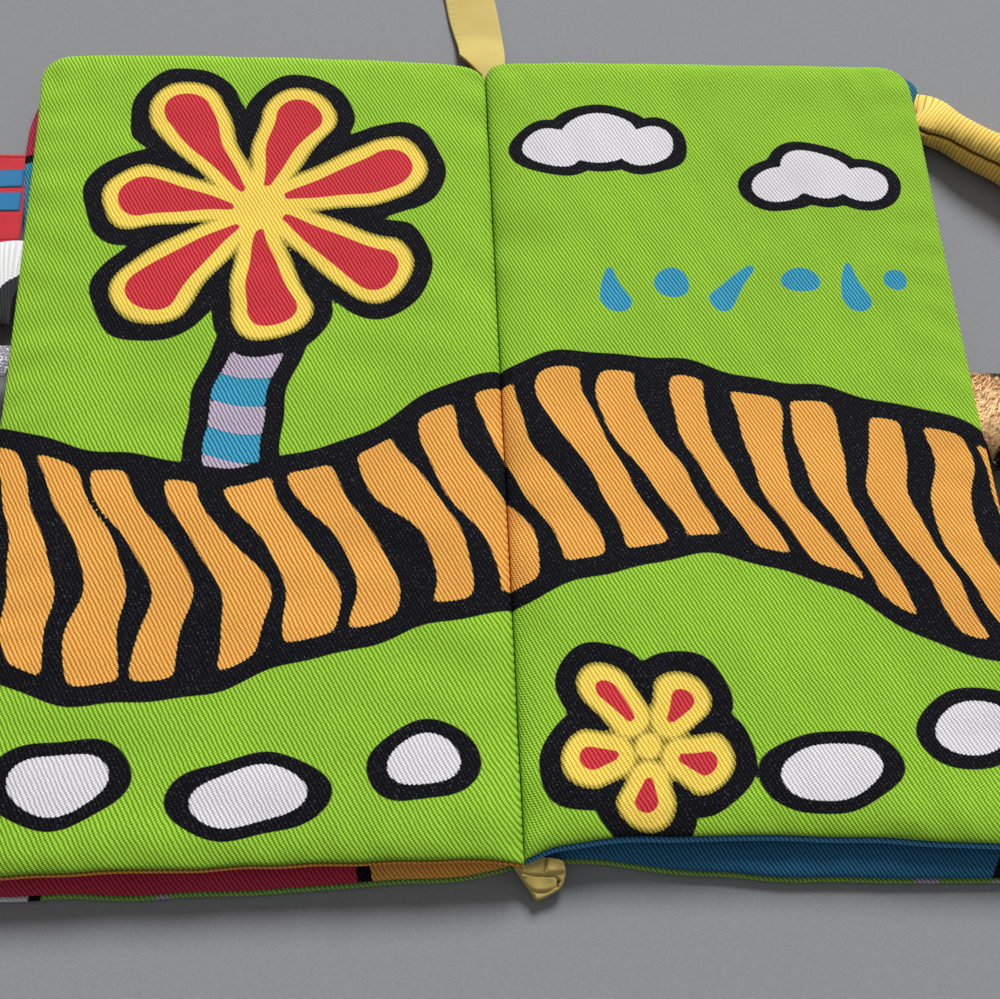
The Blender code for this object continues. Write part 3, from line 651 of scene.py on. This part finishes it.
binding = Finish("spine_binding_twill", 0.86, {"Sheen Weight": 0.12, "Specular IOR Level": 0.25})
weave = twill(binding)
px, py, pz = binding.millimetres()
stitch = binding.near(px, 0.25, 0.45) * binding.smooth(binding.wave(py / 4.2), 0.3, 0.4)
stitch = stitch * binding.smooth(pz, 1.4, 1.0)
# Painted shade: the green is darker in the weave's hollows and paler on its ridges.
cloth = binding.shade(OUTSIDE_GREEN, weave * 0.46 + 0.72)
spine = add_mesh("spine_ridge", np.stack((x, y + 0 * x, z), -1), tube_faces(SPINE_RINGS, SPINE_SIDES, True),
                 binding.done(binding.mix(stitch, cloth, hue(232, 232, 220)), weave + stitch, 0.0003), "back_cover")
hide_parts("spine_binding")


# Each stuffed tail is a cloth tube, turned right side out, filled, and sewn flat into the fore-edge seam, from
# where it drops to the table. The four differ in cloth: banded rib, glitter knit, corduroy and plush. Shares are
# of the tail's length from its seam. Where the seam draws a tail aside, its ribs keep half their old direction.
TAIL_GAP, REST_CLEARANCE, DROP_SHARE, STRAIGHT_SHARE, NARROW_SHARE = 0.0005, 0.0002, 0.34, 0.08, 0.22
TIP_START, TIP_END, INTO_SEAM, ROOT_HALF, RIBS_KEEP = 0.86, 1.005, 0.0022, 0.00095, 0.5
GIRTH_SHARE, SHARE_STEP, FILLING_START, TIP_RINGS = 0.6, 0.001, 0.011, 39
LEAF_EDGE, COVER_EDGE, LEAF_SEAM, COVER_SEAM = 0.138, 0.142, 0.00905, 0.00175


class Tail:
    """One stuffed tail: its path from the seam to the table, and its girth, with the sizes of the CAD solid. Its
    name is also its body's, and carrier is the body of the leaf that it is sewn to."""

    def __init__(self, name, side, carrier, edge, seam, y, length, root, width, height, sway, bend,
                 swell=DROP_SHARE, power=1.5, kink=0.0, narrows=NARROW_SHARE, tuck=INTO_SEAM):
        self.name, self.side, self.carrier, self.edge, self.seam = name, side, carrier, edge, seam
        self.y, self.length, self.root, self.width, self.height = y, length, root, width, height
        self.sway, self.bend, self.swell, self.power = sway, bend, swell, power
        self.kink, self.narrows, self.tuck = kink, narrows, tuck

    def path(self, share):
        """Out from the edge by share times length, aside by sway and bend, and down to rest on the table."""
        turned = share ** 2 / (share + STRAIGHT_SHARE)
        across = self.sway * turned + self.bend * np.sin(pi * turned)
        across = across + self.drawn_aside(share)
        down = ease(share / DROP_SHARE)
        z = self.seam + (self.height / 2 + REST_CLEARANCE - self.seam) * down
        z = np.maximum(z, self.halves(share)[1] + REST_CLEARANCE)
        return np.stack((self.side * (self.edge + TAIL_GAP + share * self.length), self.y + across, z), -1)

    def drawn_aside(self, share):
        """How far the seam draws the root to the far side, and the step back after it."""
        return self.kink * (1.96 * bell(share, 0.03) - bell(share - 0.125, 0.068))

    def halves(self, share):
        """Half the width and half the height: flat in the seam, swelling over the drop, closed at the tip."""
        tip = np.sqrt(1 - unit((share - TIP_START) / (TIP_END - TIP_START)) ** 2)
        wide = self.root / 2 + (self.width - self.root) / 2 * ease(share / self.narrows)
        tall = ROOT_HALF + (self.height / 2 - ROOT_HALF) * shoulder(share / self.swell) ** self.power
        tall = tall * (0.45 + 0.55 * ease((share * self.length + INTO_SEAM) / INTO_SEAM))
        slim = tip * (1 - 33 * self.kink * bell(share - 0.13, 0.09))
        return wide * slim, tall * slim

    def mean_half(self):
        """Mean of half the width and half the height where the tail is full, in millimetres."""
        return 500 * sum(self.halves(np.array(GIRTH_SHARE)))

    def shares(self, step, first):
        """Rings at even steps along the tail, closer towards the round tip."""
        first = first / self.length
        body = np.linspace(first, TIP_START, int((TIP_START - first) * self.length / step) + 2)
        turn = np.linspace(0, pi / 2, TIP_RINGS + 1)[1:]
        return np.append(body, TIP_START + (TIP_END - TIP_START) * np.sin(turn) * 0.99999)

    def skin(self, share, angle, out):
        """Points round the path at an angle from the far side, pushed outwards along the section by out."""
        ahead = self.path(share + SHARE_STEP) - self.path(share - SHARE_STEP)
        ahead = ahead / np.linalg.norm(ahead, axis=-1, keepdims=True)
        level = np.cross((0, 0, self.side), ahead)
        level = level / np.linalg.norm(level, axis=-1, keepdims=True)
        up = np.cross(ahead, level) * self.side
        wide, tall = self.halves(share)
        wide, tall = np.maximum(wide + out, 0.3 * wide), np.maximum(tall + out, 0.3 * tall)
        rim = wide[..., None] * np.cos(angle)[..., None] * level + tall[..., None] * np.sin(angle)[..., None] * up
        points = self.path(share) + rim
        points[..., 2] = np.maximum(points[..., 2], REST_CLEARANCE / 2)
        return points

    def sew(self, piece):
        """Lets a piece bend at the seam, from the leaf's body to the tail's own."""
        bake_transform(piece, self.carrier, self.name, (self.side * (self.edge - 0.0012), self.y, self.seam),
                 (self.side * (self.edge + 0.008), self.y, self.seam))

    def add(self, suffix, finish, step, sides, relief, node, fill, sewn=False):
        """Adds the tail's skin, which is sewn, or its filling. relief gives the height of its surface and a mark,
        from millimetres along and round. The ribs lean back by their turn where the seam draws the path aside."""
        share = self.shares(step, -self.tuck if sewn else FILLING_START)
        angle = np.linspace(0, 2 * pi, sides + 1)[:-1][None, :]
        walk = np.linalg.norm(np.diff(self.path(share), axis=0), axis=1)
        aside = self.drawn_aside(share + SHARE_STEP) - self.drawn_aside(share - SHARE_STEP)
        slope = aside / (2 * SHARE_STEP * self.length)
        turned_by = (self.halves(share)[0] * slope / np.sqrt(1 + slope ** 2))[:, None]
        along = (np.append(0, np.cumsum(walk)) + share[0] * self.length)[:, None] * 1000
        along = along - RIBS_KEEP * 1000 * turned_by * np.cos(angle)
        turn = angle + 0 * along
        around = turn * self.mean_half()
        out, mark = relief(along, around, turn)
        piece = add_mesh(self.name + suffix, self.skin(share[:, None], angle, out),
                         tube_faces(len(share), sides, self.side > 0), finish, None if sewn else self.name,
                         along=along, around=around, turn=turn, mark=mark + 0 * along)
        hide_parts(self.name + node)
        if sewn:
            self.sew(piece)
        return piece


banded = Tail("banded_tail", -1, "left_leaf", LEAF_EDGE, LEAF_SEAM, 0.0415, 0.085, 0.029, 0.026, 0.0105,
              -0.004, -0.006)
glitter = Tail("glitter_tail", -1, "left_leaf", LEAF_EDGE, LEAF_SEAM, 0.0155, 0.070, 0.010, 0.009, 0.0075,
               -0.018, 0.002)
corduroy = Tail("corduroy_tail", 1, "back_cover", COVER_EDGE, COVER_SEAM, 0.10578, 0.110, 0.0208, 0.0137, 0.0146,
                -0.030, -0.028, 0.18, 1.1, 0.0021, 0.085, 0.0042)
plush = Tail("plush_tail", 1, "right_leaf", LEAF_EDGE, LEAF_SEAM, -0.0064, 0.096, 0.0325, 0.030, 0.026,
             0.005, -0.008)

stuffing = Finish("polyester_stuffing", 0.95, {"Sheen Weight": 0.3})
tuft = stuffing.noise(0.002, 4.0)
LUMP_HEIGHT = 0.0003
stuffing_finish = stuffing.done(stuffing.mix(tuft, hue(220, 220, 216), hue(246, 246, 243)), tuft, 0.0008)


def lumps(depth):
    """The filling lies at some depth under the skin, in soft lumps."""
    return lambda along, around, turn: (-depth + LUMP_HEIGHT * ripples(along / 1000, around / 1000, 81, 0.009), 0)


for tail, depth in ((banded, 0.0014), (glitter, 0.0013), (corduroy, 0.0024), (plush, 0.0036)):
    tail.add("_filling", stuffing_finish, 0.0025, 32, lumps(depth), "_stuffing", 0.7)


# The banded tail is white cotton rib, printed with curved black bands.
rib = Finish("banded_rib", 0.88, {"Sheen Weight": 0.15, "Specular IOR Level": 0.25})
along, around = rib.attributes("along", "around")
cord = rib.wave(along / 0.95 + rib.noise(0.01) * 0.4)
loops = rib.wave(around / 0.7 + cord * 0.5)
height = cord * (loops * 0.35 + 0.65)
across = rib.millimetres()[1] - 44.0
slant = along + across * 0.8 + rib.noise(0.008) * 2.0
band = rib.smooth(rib.maths("COSINE", (slant + 7.0) * (2 * pi / 34.0)) + height * 0.05, 0.28, 0.32)
# Painted shade and highlight: the white is darker in the hollows between cords and loops, and the black is lighter on
# their ridges.
white = rib.shade(hue(236, 235, 236), height * 0.30 + 0.74)
black = rib.mix(height * rib.noise(0.0005), hue(16, 16, 18), hue(74, 75, 80))


def soft_dents(seed, depth, size):
    """Shallow dents and lumps, as filling leaves under a cloth."""
    return lambda along, around, turn: (depth * ripples(along / 1000, around / 1000, seed, size) * unit(along / 12), 0)


piece = banded.add("_skin", rib.done(rib.mix(band, white, black), height, 0.00025), 0.0010, 72,
                   soft_dents(83, 0.0003, 0.018), "_cover", 0.7, True)


# The glitter tail is a narrow tube of lilac-grey knit with metal thread in it.
knit = Finish("glitter_knit", 0.62, {"Specular IOR Level": 0.4})
along, around = knit.attributes("along", "around")
stitches = knit.wave(around / 0.9) * knit.wave(along / 0.8 + knit.wave(around / 0.9) * 0.5)
# The white specks are the metal thread, painted as glints, and the thread is painted darker between the stitches as
# shade.
glint = knit.node("ShaderNodeTexVoronoi", {"Vector": knit.place(), "Scale": 2600.0}, 1)
spark = knit.smooth(knit.node("ShaderNodeSeparateColor", {0: glint}, 0), 0.80, 0.86)
thread = knit.mix(knit.noise(0.001, 2.0), hue(128, 122, 140), hue(176, 170, 186))
thread = knit.shade(thread, stitches * 0.5 + 0.7)
knit_finish = knit.done(knit.mix(spark, thread, hue(240, 240, 248)), stitches + spark * 0.4, 0.0003,
                        spark * -0.35 + 0.62)
piece = glitter.add("_skin", knit_finish, 0.0008, 48, soft_dents(84, 0.0002, 0.012), "_cover", 0.7, True)


# The corduroy tail is cut so that its wales run round it. One long seam lies on its near side, and pulls the
# cloth in.
WALE_STEP, WALE_HEIGHT, WALE_SLANT, SEAM_TURN, SEAM_DEPTH, GATHER = 1.3, 0.00032, 0.04, radians(152), 0.0011, 0.00022


def wales(along, around, turn):
    """Round ribs across the tail, leaning a little, and a groove along the seam, with gathers beside it."""
    phase = (along + WALE_SLANT * around + 0.3 * ripples(along / 1000, around / 1000, 85, 0.02)) / WALE_STEP
    ridge = np.sqrt(np.abs(np.cos(pi * phase)))
    beside = np.abs((turn - SEAM_TURN + pi) % (2 * pi) - pi)
    groove = bell(beside, 0.11)
    gather = bell(beside, 0.5) * np.sin(2 * pi * along / 5.3) * GATHER
    grown = unit(along / 1.2)
    out = (WALE_HEIGHT * (ridge - 1) * (1 - groove) - SEAM_DEPTH * groove + gather) * grown + 0.00025 * grown
    return out, phase


velvet = Finish("corduroy", 0.9, {"Sheen Weight": 0.25, "Sheen Roughness": 0.4, "Specular IOR Level": 0.2})
turn, phase = velvet.attributes("turn", "mark")
# Painted light and shade on the yarn: the valleys between the wales and the groove of the seam are painted dark brown,
# and the yarn past the seam, on the tail's near side and underside, is painted a stronger, brighter orange as painted
# light on the side that lies in shade.
valley = velvet.near(velvet.maths("COSINE", phase * pi), 0.14, 0.46)
pile = velvet.noise(0.0003, 2.0)
painted_lit_underside = velvet.smooth(turn, float(SEAM_TURN - 0.02), float(SEAM_TURN + 0.06))
crease = velvet.near(turn - float(SEAM_TURN), 0.03, 0.13)
yarn = velvet.mix(velvet.noise(0.01), hue(242, 202, 92), hue(254, 220, 114))
yarn = velvet.mix(painted_lit_underside, yarn, hue(255, 206, 96))
yarn = velvet.shade(yarn, pile * 0.25 + 0.86)
yarn = velvet.mix(valley * 0.8, yarn, hue(146, 100, 40))
yarn = velvet.mix(crease, yarn, hue(112, 66, 24))
piece = corduroy.add("_skin", velvet.done(yarn, pile, 0.00012), 0.00016, 80, wales, "_cover", 0.8, True)


# The plush tail is a thick tube of short fur fabric, orange with black bands. The fur is tens of thousands of
# small leaning blades on a woven backing.
PILE_WIDTH, PILE_FOOT, PILE_BACKING, BLADES, BLADE_LEAN, BAND_STEP = 0.00028, -0.0014, -0.0013, 92000, 0.022, 24.0
backing = Finish("plush_backing", 0.95, {"Sheen Weight": 0.2})
fur = Finish("plush_pile", 0.7, {"Sheen Weight": 0.35, "Sheen Roughness": 0.4, "Specular IOR Level": 0.3})


def banded_fur(finish):
    """Orange fur with curved black bands at even steps, softened by the fur's own length."""
    along, around = finish.attributes("along", "around")
    curve = finish.maths("SINE", around / 11.0) * -7.0 + finish.noise(0.006) * 4.0
    dark = finish.smooth(finish.wave((along + curve) / BAND_STEP + 0.76), 0.70, 0.80)
    warm = finish.mix(finish.noise(0.004, 3.0), hue(246, 188, 126), hue(255, 224, 172))
    return finish.mix(dark, warm, hue(24, 20, 18))


# The backing is painted a darker, browner copy of the fur's colour: painted shade where it shows deep between the
# blades.
backing_finish = backing.done(backing.shade(banded_fur(backing), (0.84, 0.78, 0.72, 1.0)), backing.noise(0.0008),
                              0.0002)
piece = plush.add("_skin", backing_finish, 0.0012, 80, lambda along, around, turn: (PILE_BACKING + 0 * along, 0),
                  "_cover", 0.8, True)
dice = np.random.default_rng(97)
share = dice.uniform(-0.024, 0.998, BLADES)
angle = dice.uniform(0, 2 * pi, BLADES)
around = angle * plush.mean_half()
foot = plush.skin(share, angle, PILE_FOOT + 0 * share)
lean = (BLADE_LEAN + dice.normal(0, 0.006, BLADES)) * (0.35 + 0.65 * ease(share / 0.14))
tip = plush.skin(share + lean, angle + dice.normal(0, 0.05, BLADES), dice.uniform(-0.0006, 0.0002, BLADES))
blade = tip - foot
outward = plush.skin(share, angle, 0.001 + 0 * share) - plush.skin(share, angle, -0.001 + 0 * share)
outward = outward / np.linalg.norm(outward, axis=1, keepdims=True)
aside = np.cross(blade, outward + dice.normal(0, 0.15, (BLADES, 3)))
aside = aside / np.linalg.norm(aside, axis=1, keepdims=True) * PILE_WIDTH / 2
points = np.stack((foot, foot + blade * 0.55 + aside, tip, foot + blade * 0.55 - aside), 1)
faces = np.arange(4 * BLADES).reshape(-1, 4).tolist()
shine = fur.noise(0.0007, 1.0) * 0.16 + 0.96
pile_finish = fur.done(fur.shade(banded_fur(fur), shine), fur.noise(0.0004), 0.0001)
piece = add_mesh("plush_tail_pile", points, faces, pile_finish, along=np.repeat(share * plush.length * 1000, 4),
                 around=np.repeat(around, 4))
brushed = outward + 0.35 * blade / np.linalg.norm(blade, axis=1)[:, None]
piece.data.normals_split_custom_set_from_vertices(np.repeat(brushed, 4, 0))
plush.sew(piece)


# The flat tail is a strip of red brushed cotton, folded double and turned, with a round end. Two blue satin
# ribbons are sewn along it.
FLAT_Y, FLAT_LENGTH, FLAT_WIDTH, FLAT_THICKNESS, FLAT_ROUND = 0.07611, 0.075, 0.0335, 0.0016, 0.010
WAVE_HEIGHT, WAVY, FLAT_REST, RIBBON_THICKNESS = 0.0014, 0.00022, 0.0008, 0.0004
FLAT_SEAM = ((-COVER_EDGE + 0.001, FLAT_Y, COVER_SEAM), (-COVER_EDGE - 0.007, FLAT_Y, COVER_SEAM))


def flat_height(x, y, share, run):
    """Down from the seam to the table over a share of the length, then one low wave, and small waves that grow
    over the run from the seam."""
    drop = ease(share / DROP_SHARE)
    wavy = WAVY * ripples(x, y, 91, 0.017) * unit(run / 0.01)
    low_wave = WAVE_HEIGHT * np.sin(pi * unit(share)) ** 2
    return COVER_SEAM + (FLAT_REST - COVER_SEAM) * drop + low_wave + wavy.clip(-0.0002, 1) + 0.0002


cotton = Finish("red_cotton", 0.9, {"Sheen Weight": 0.3, "Specular IOR Level": 0.2})
along, aside, rim = cotton.attributes("along", "aside", "rim")
plain = cotton.wave(along / 0.34) * 0.5 + cotton.wave(aside / 0.34 + cotton.wave(along / 0.34) * 0.5) * 0.5
# Painted shade: the red is darker in the hollows of the weave.
red = cotton.shade(cotton.mix(cotton.noise(0.004, 3.0), hue(196, 30, 44), hue(222, 50, 60)), plain * 0.2 + 0.86)
border = cotton.near(rim - 1.6, 0.08, 0.22)
stitch = border * cotton.smooth(cotton.wave((along + aside) / 2.4), 0.25, 0.35)
cotton_finish = cotton.done(cotton.mix(stitch, red, hue(150, 16, 30)), plain * 0.5 - border * 0.8, 0.0002)
share = np.append(-0.0016 / FLAT_LENGTH, np.linspace(0, 1, 190))
run = share * FLAT_LENGTH
past = np.clip(run - (FLAT_LENGTH - FLAT_ROUND), 0, FLAT_ROUND)
half = FLAT_WIDTH / 2 - FLAT_ROUND + np.sqrt(FLAT_ROUND ** 2 - (past * 0.9999) ** 2)
across = np.linspace(-1, 1, 88)
run, half, share, across = run[:, None], half[:, None], share[:, None], across[None, :]
rim = np.minimum(half * (1 - np.abs(across)), FLAT_LENGTH - run + 0 * across)
puff = (FLAT_THICKNESS / 2) * shoulder((rim + 0.00002) / 0.0011) * (1 - 0.12 * bell(rim - 0.0016, 0.0003))
x = -(COVER_EDGE + TAIL_GAP + run) + 0 * across
y = FLAT_Y + half * across
z = flat_height(x, y, share, run)
strip = add_slab("flat_tail_strip", x, y, z + puff, z - puff, cotton_finish, along=run * 1000, aside=y * 1000,
                 rim=rim * 1000)
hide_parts("flat_tail_cloth")
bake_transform(strip, "front_cover", "flat_tail", *FLAT_SEAM)
satin = Finish("blue_ribbon", 0.42, {"Specular IOR Level": 0.5})
along, aside, rim = satin.attributes("along", "aside", "rim")
threads = satin.wave(aside / 0.28) * 0.4 + satin.wave(along / 0.22) * 0.6
edge = satin.smooth(rim, 0.55, 0.30)
# Painted shade: the satin is darker between its threads; it is also darker towards its edges.
ribbon_finish = satin.done(satin.mix(edge, satin.shade(hue(30, 132, 190), threads * 0.24 + 0.84), hue(20, 92, 150)),
                           threads + edge * 0.6, 0.00012)
for name in ("far", "near"):
    low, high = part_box("flat_tail_" + name + "_ribbon")
    run = np.linspace(COVER_EDGE - 0.0003, -low.x, 120)[:, None]
    across = np.linspace(-1, 1, 22)[None, :]
    share = (run - COVER_EDGE - TAIL_GAP) / FLAT_LENGTH
    middle, half = (low.y + high.y) / 2, (high.y - low.y) / 2
    x, y = -run + 0 * across, middle + half * across + 0.0002 * np.sin(run / 0.009)
    rim = np.minimum(half * (1 - np.abs(across)), np.minimum(run - run[0], run[-1] - run) + 0 * across)
    base = flat_height(x, y, share, run - COVER_EDGE) + FLAT_THICKNESS / 2 * 0.97
    loft = RIBBON_THICKNESS * (0.45 + 0.55 * shoulder(rim / 0.0006))
    piece = add_slab("flat_tail_" + name + "_satin", x, y, base + loft, base, ribbon_finish, along=run * 1000,
                     aside=y * 1000, rim=rim * 1000)
    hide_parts("flat_tail_" + name + "_ribbon")
    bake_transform(piece, "front_cover", "flat_tail", *FLAT_SEAM)


# The strap is a pale yellow cotton tape, folded double and stitched along one edge. It comes out of the valley
# at the head, with its left side folded under, and drops to the table.
STRAP_WIDTH, STRAP_THICKNESS, STRAP_START, STRAP_SWAY = 0.0166, 0.0012, 0.1302, 0.012
FOLD_FROM, FOLD_RUN, SHOWN_WIDTH, FOLDED_WIDTH, FOLD_RADIUS = 0.1330, 0.0100, 0.0146, 0.0070, 0.0004
SEWN_HEIGHT = 0.0051
low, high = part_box("strap")
STRAP_LENGTH = high.y - STRAP_START
tape = Finish("yellow_tape", 0.85, {"Sheen Weight": 0.15, "Specular IOR Level": 0.25})
along, aside = tape.attributes("along", "aside")
plain = tape.wave((along + aside) / 0.42) * tape.wave((along - aside) / 0.42)
seam = tape.near(tape.maths("ABSOLUTE", aside - 1.75) - 0.42, 0.08, 0.20)
stitch = seam * tape.smooth(tape.wave(along / 2.3), 0.22, 0.34)
shade = tape.mix(tape.noise(0.009, 3.0), hue(214, 188, 100), hue(232, 210, 128))
shade = tape.shade(shade, plain * 0.16 + 0.88)
shade = tape.mix(seam * 0.35, shade, hue(178, 148, 70))
tape_finish = tape.done(tape.mix(stitch * 0.6, shade, hue(238, 218, 142)),
                        plain * 0.5 - seam * 0.6 + stitch * 0.8, 0.0002)
y = np.concatenate((np.linspace(0.1180, 0.1462, 60), np.linspace(0.1462, high.y - 0.0005, 110)[1:]))[:, None]
across = np.linspace(0, STRAP_WIDTH, 61)[None, :]
run = np.clip(y - STRAP_START, 0, 1)
right = -STRAP_SWAY * (run / STRAP_LENGTH) ** 1.15 + 0.0079 - 0.0014 * bell(y - 0.124, 0.011)
shown = SHOWN_WIDTH + (STRAP_WIDTH - SHOWN_WIDTH) * ease((y - FOLD_FROM) / 0.022)
shown = shown - (SHOWN_WIDTH - FOLDED_WIDTH) * unit((FOLD_FROM - y) / FOLD_RUN)
turn = np.clip((across - shown) / (pi * FOLD_RADIUS / 2), 0, 2) * pi / 2
back = np.clip(across - shown - pi * FOLD_RADIUS, 0, 1)
x = right - np.minimum(across, shown) - FOLD_RADIUS * 0.55 * np.sin(turn) + back
drop = ease((y - STRAP_START + 0.004) / 0.018)
z = SEWN_HEIGHT + (STRAP_THICKNESS / 2 + 0.0004 - SEWN_HEIGHT) * drop
z = z - FOLD_RADIUS * (1 - np.cos(turn)) * (0.25 + 0.35 * (1 - drop))
z = z + 0.0003 * np.sin(run / 0.011 + across * 120) * unit(run / 0.02) + 0.0009 * bell(run - 0.052, 0.016)
rim = np.minimum(across, STRAP_WIDTH - across) + 0 * y
thick = STRAP_THICKNESS / 2 * (0.35 + 0.65 * shoulder(rim / 0.0008)) * (0.55 + 0.45 * drop)
z = np.maximum(z, thick + 0.00002)
piece = add_slab("strap_tape", x, y, z + thick, z - thick, tape_finish, None, True, along=y * 1000,
                 aside=(STRAP_WIDTH - across) * 1000)
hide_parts("strap", "strap_root")
float(y[-1, 0] - y[0, 0])
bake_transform(piece, "back_cover", "strap", (0, STRAP_START - 0.002, 0.0051), (0, STRAP_START + 0.006, 0.0051))


# The other end of the tape shows at the foot as a short tab, folded into a triangle and caught in the seam.
TAB_LEFT = ((-2.4, -118.0), (-2.6, -125.6), (-1.0, -127.9), (0.4, -129.9), (1.7, -131.7), (2.6, -133.3))
TAB_RIGHT = ((1.0, -118.0), (4.6, -123.6), (9.9, -124.6), (10.5, -127.2), (9.3, -130.8), (5.0, -132.9), (3.0, -133.4))


def smooth_line(places, count):
    """A line through some places at even steps of its length, with its corners rounded off."""
    places = np.array(places) / 1000
    walk = np.append(0, np.cumsum(np.linalg.norm(np.diff(places, axis=0), axis=1)))
    at = np.linspace(0, walk[-1], count)
    return np.stack([np.mean([np.interp(at + shift, walk, axis) for shift in np.linspace(-0.0011, 0.0011, 9)], axis=0)
                     for axis in places.T], -1)


def fold_line(x, y, places, width):
    """1 on a line through some places, given in millimetres, and fading to 0 over a width to either side."""
    away = np.full_like(x, 1.0)
    for (ax, ay), (bx, by) in zip(places[:-1], places[1:]):
        run = np.array((bx - ax, by - ay)) / 1000
        share = unit(((x - ax / 1000) * run[0] + (y - ay / 1000) * run[1]) / (run @ run))
        away = np.minimum(away, np.hypot(x - ax / 1000 - share * run[0], y - ay / 1000 - share * run[1]))
    return bell(away, width)


left, right = smooth_line(TAB_LEFT, 110)[:, None], smooth_line(TAB_RIGHT, 110)[:, None]
part = np.linspace(0, 1, 90)[None, :, None]
place = left + (right - left) * part
x, y, part = place[..., 0], place[..., 1], part[..., 0]
out = unit((-y - 0.1240) / 0.0095)
rim = np.minimum(np.minimum(part, 1 - part) * np.abs(right - left)[..., 0], (y + 0.1337) * 1.2)
swell = shoulder(rim / 0.0008)
across_fold = fold_line(x, y, ((-2.0, -126.9), (1.2, -127.7), (4.0, -127.9), (7.4, -128.1), (8.7, -129.4)), 0.00034)
up_fold = fold_line(x, y, ((5.6, -123.9), (5.3, -125.6), (4.8, -127.2)), 0.00030)
slit = fold_line(x, y, ((8.3, -129.3), (8.1, -130.5)), 0.00036)
low_fold = fold_line(x, y, ((0.6, -130.5), (3.1, -131.7), (5.4, -131.6), (7.4, -130.9)), 0.00042)
layers = 0.0005 * ease((y + 0.1282 - 0.08 * (x - 0.004)) / 0.0009)
layers = layers + 0.0004 * ease((x - 0.0052) / 0.0009) * ease((y + 0.1276) / 0.001)
layers = layers + 0.0004 * ease((y + 0.1316) / 0.0007) + 0.00022 * ripples(x, y, 95, 0.0042)
top = 0.0050 - 0.0026 * out + 0.0007 * swell + layers
top = top - 0.0005 * across_fold - 0.0006 * up_fold - 0.0009 * slit - 0.0004 * low_fold
bottom = 0.0044 - 0.0040 * out
mid = 0.0048 - 0.0028 * out
upper = mid + (top - mid) * swell
lower = mid + (bottom - mid) * swell
# Painted shade: the folds and the slit of the pocket are painted dark brown, and the tape is darker in its weave's
# hollows.
dark = 0.28 * across_fold + 0.55 * up_fold + 0.9 * slit + 0.22 * low_fold
canvas = Finish("tab_tape", 0.88, {"Sheen Weight": 0.1, "Specular IOR Level": 0.25})
along, aside, crease = canvas.attributes("along", "aside", "crease")
plain = canvas.wave((along + aside) / 0.46) * canvas.wave((along - aside) / 0.46)
shade = canvas.mix(canvas.noise(0.004, 3.0), hue(228, 196, 102), hue(248, 222, 132))
shade = canvas.shade(shade, plain * 0.55 + 0.62)
tab_finish = canvas.done(canvas.mix(canvas.smooth(crease, 0.0, 1.2), shade, hue(84, 58, 24)), plain, 0.0002)
piece = add_slab("foot_tab_tape", x, y, upper, lower, tab_finish, along=y * 1000, aside=x * 1000, crease=dark)
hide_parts("foot_tab", "tab_root")
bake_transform(piece, "back_cover", "foot_tab", (0.004, -0.1275, 0.0051), (0.004, -0.1310, 0.0051))
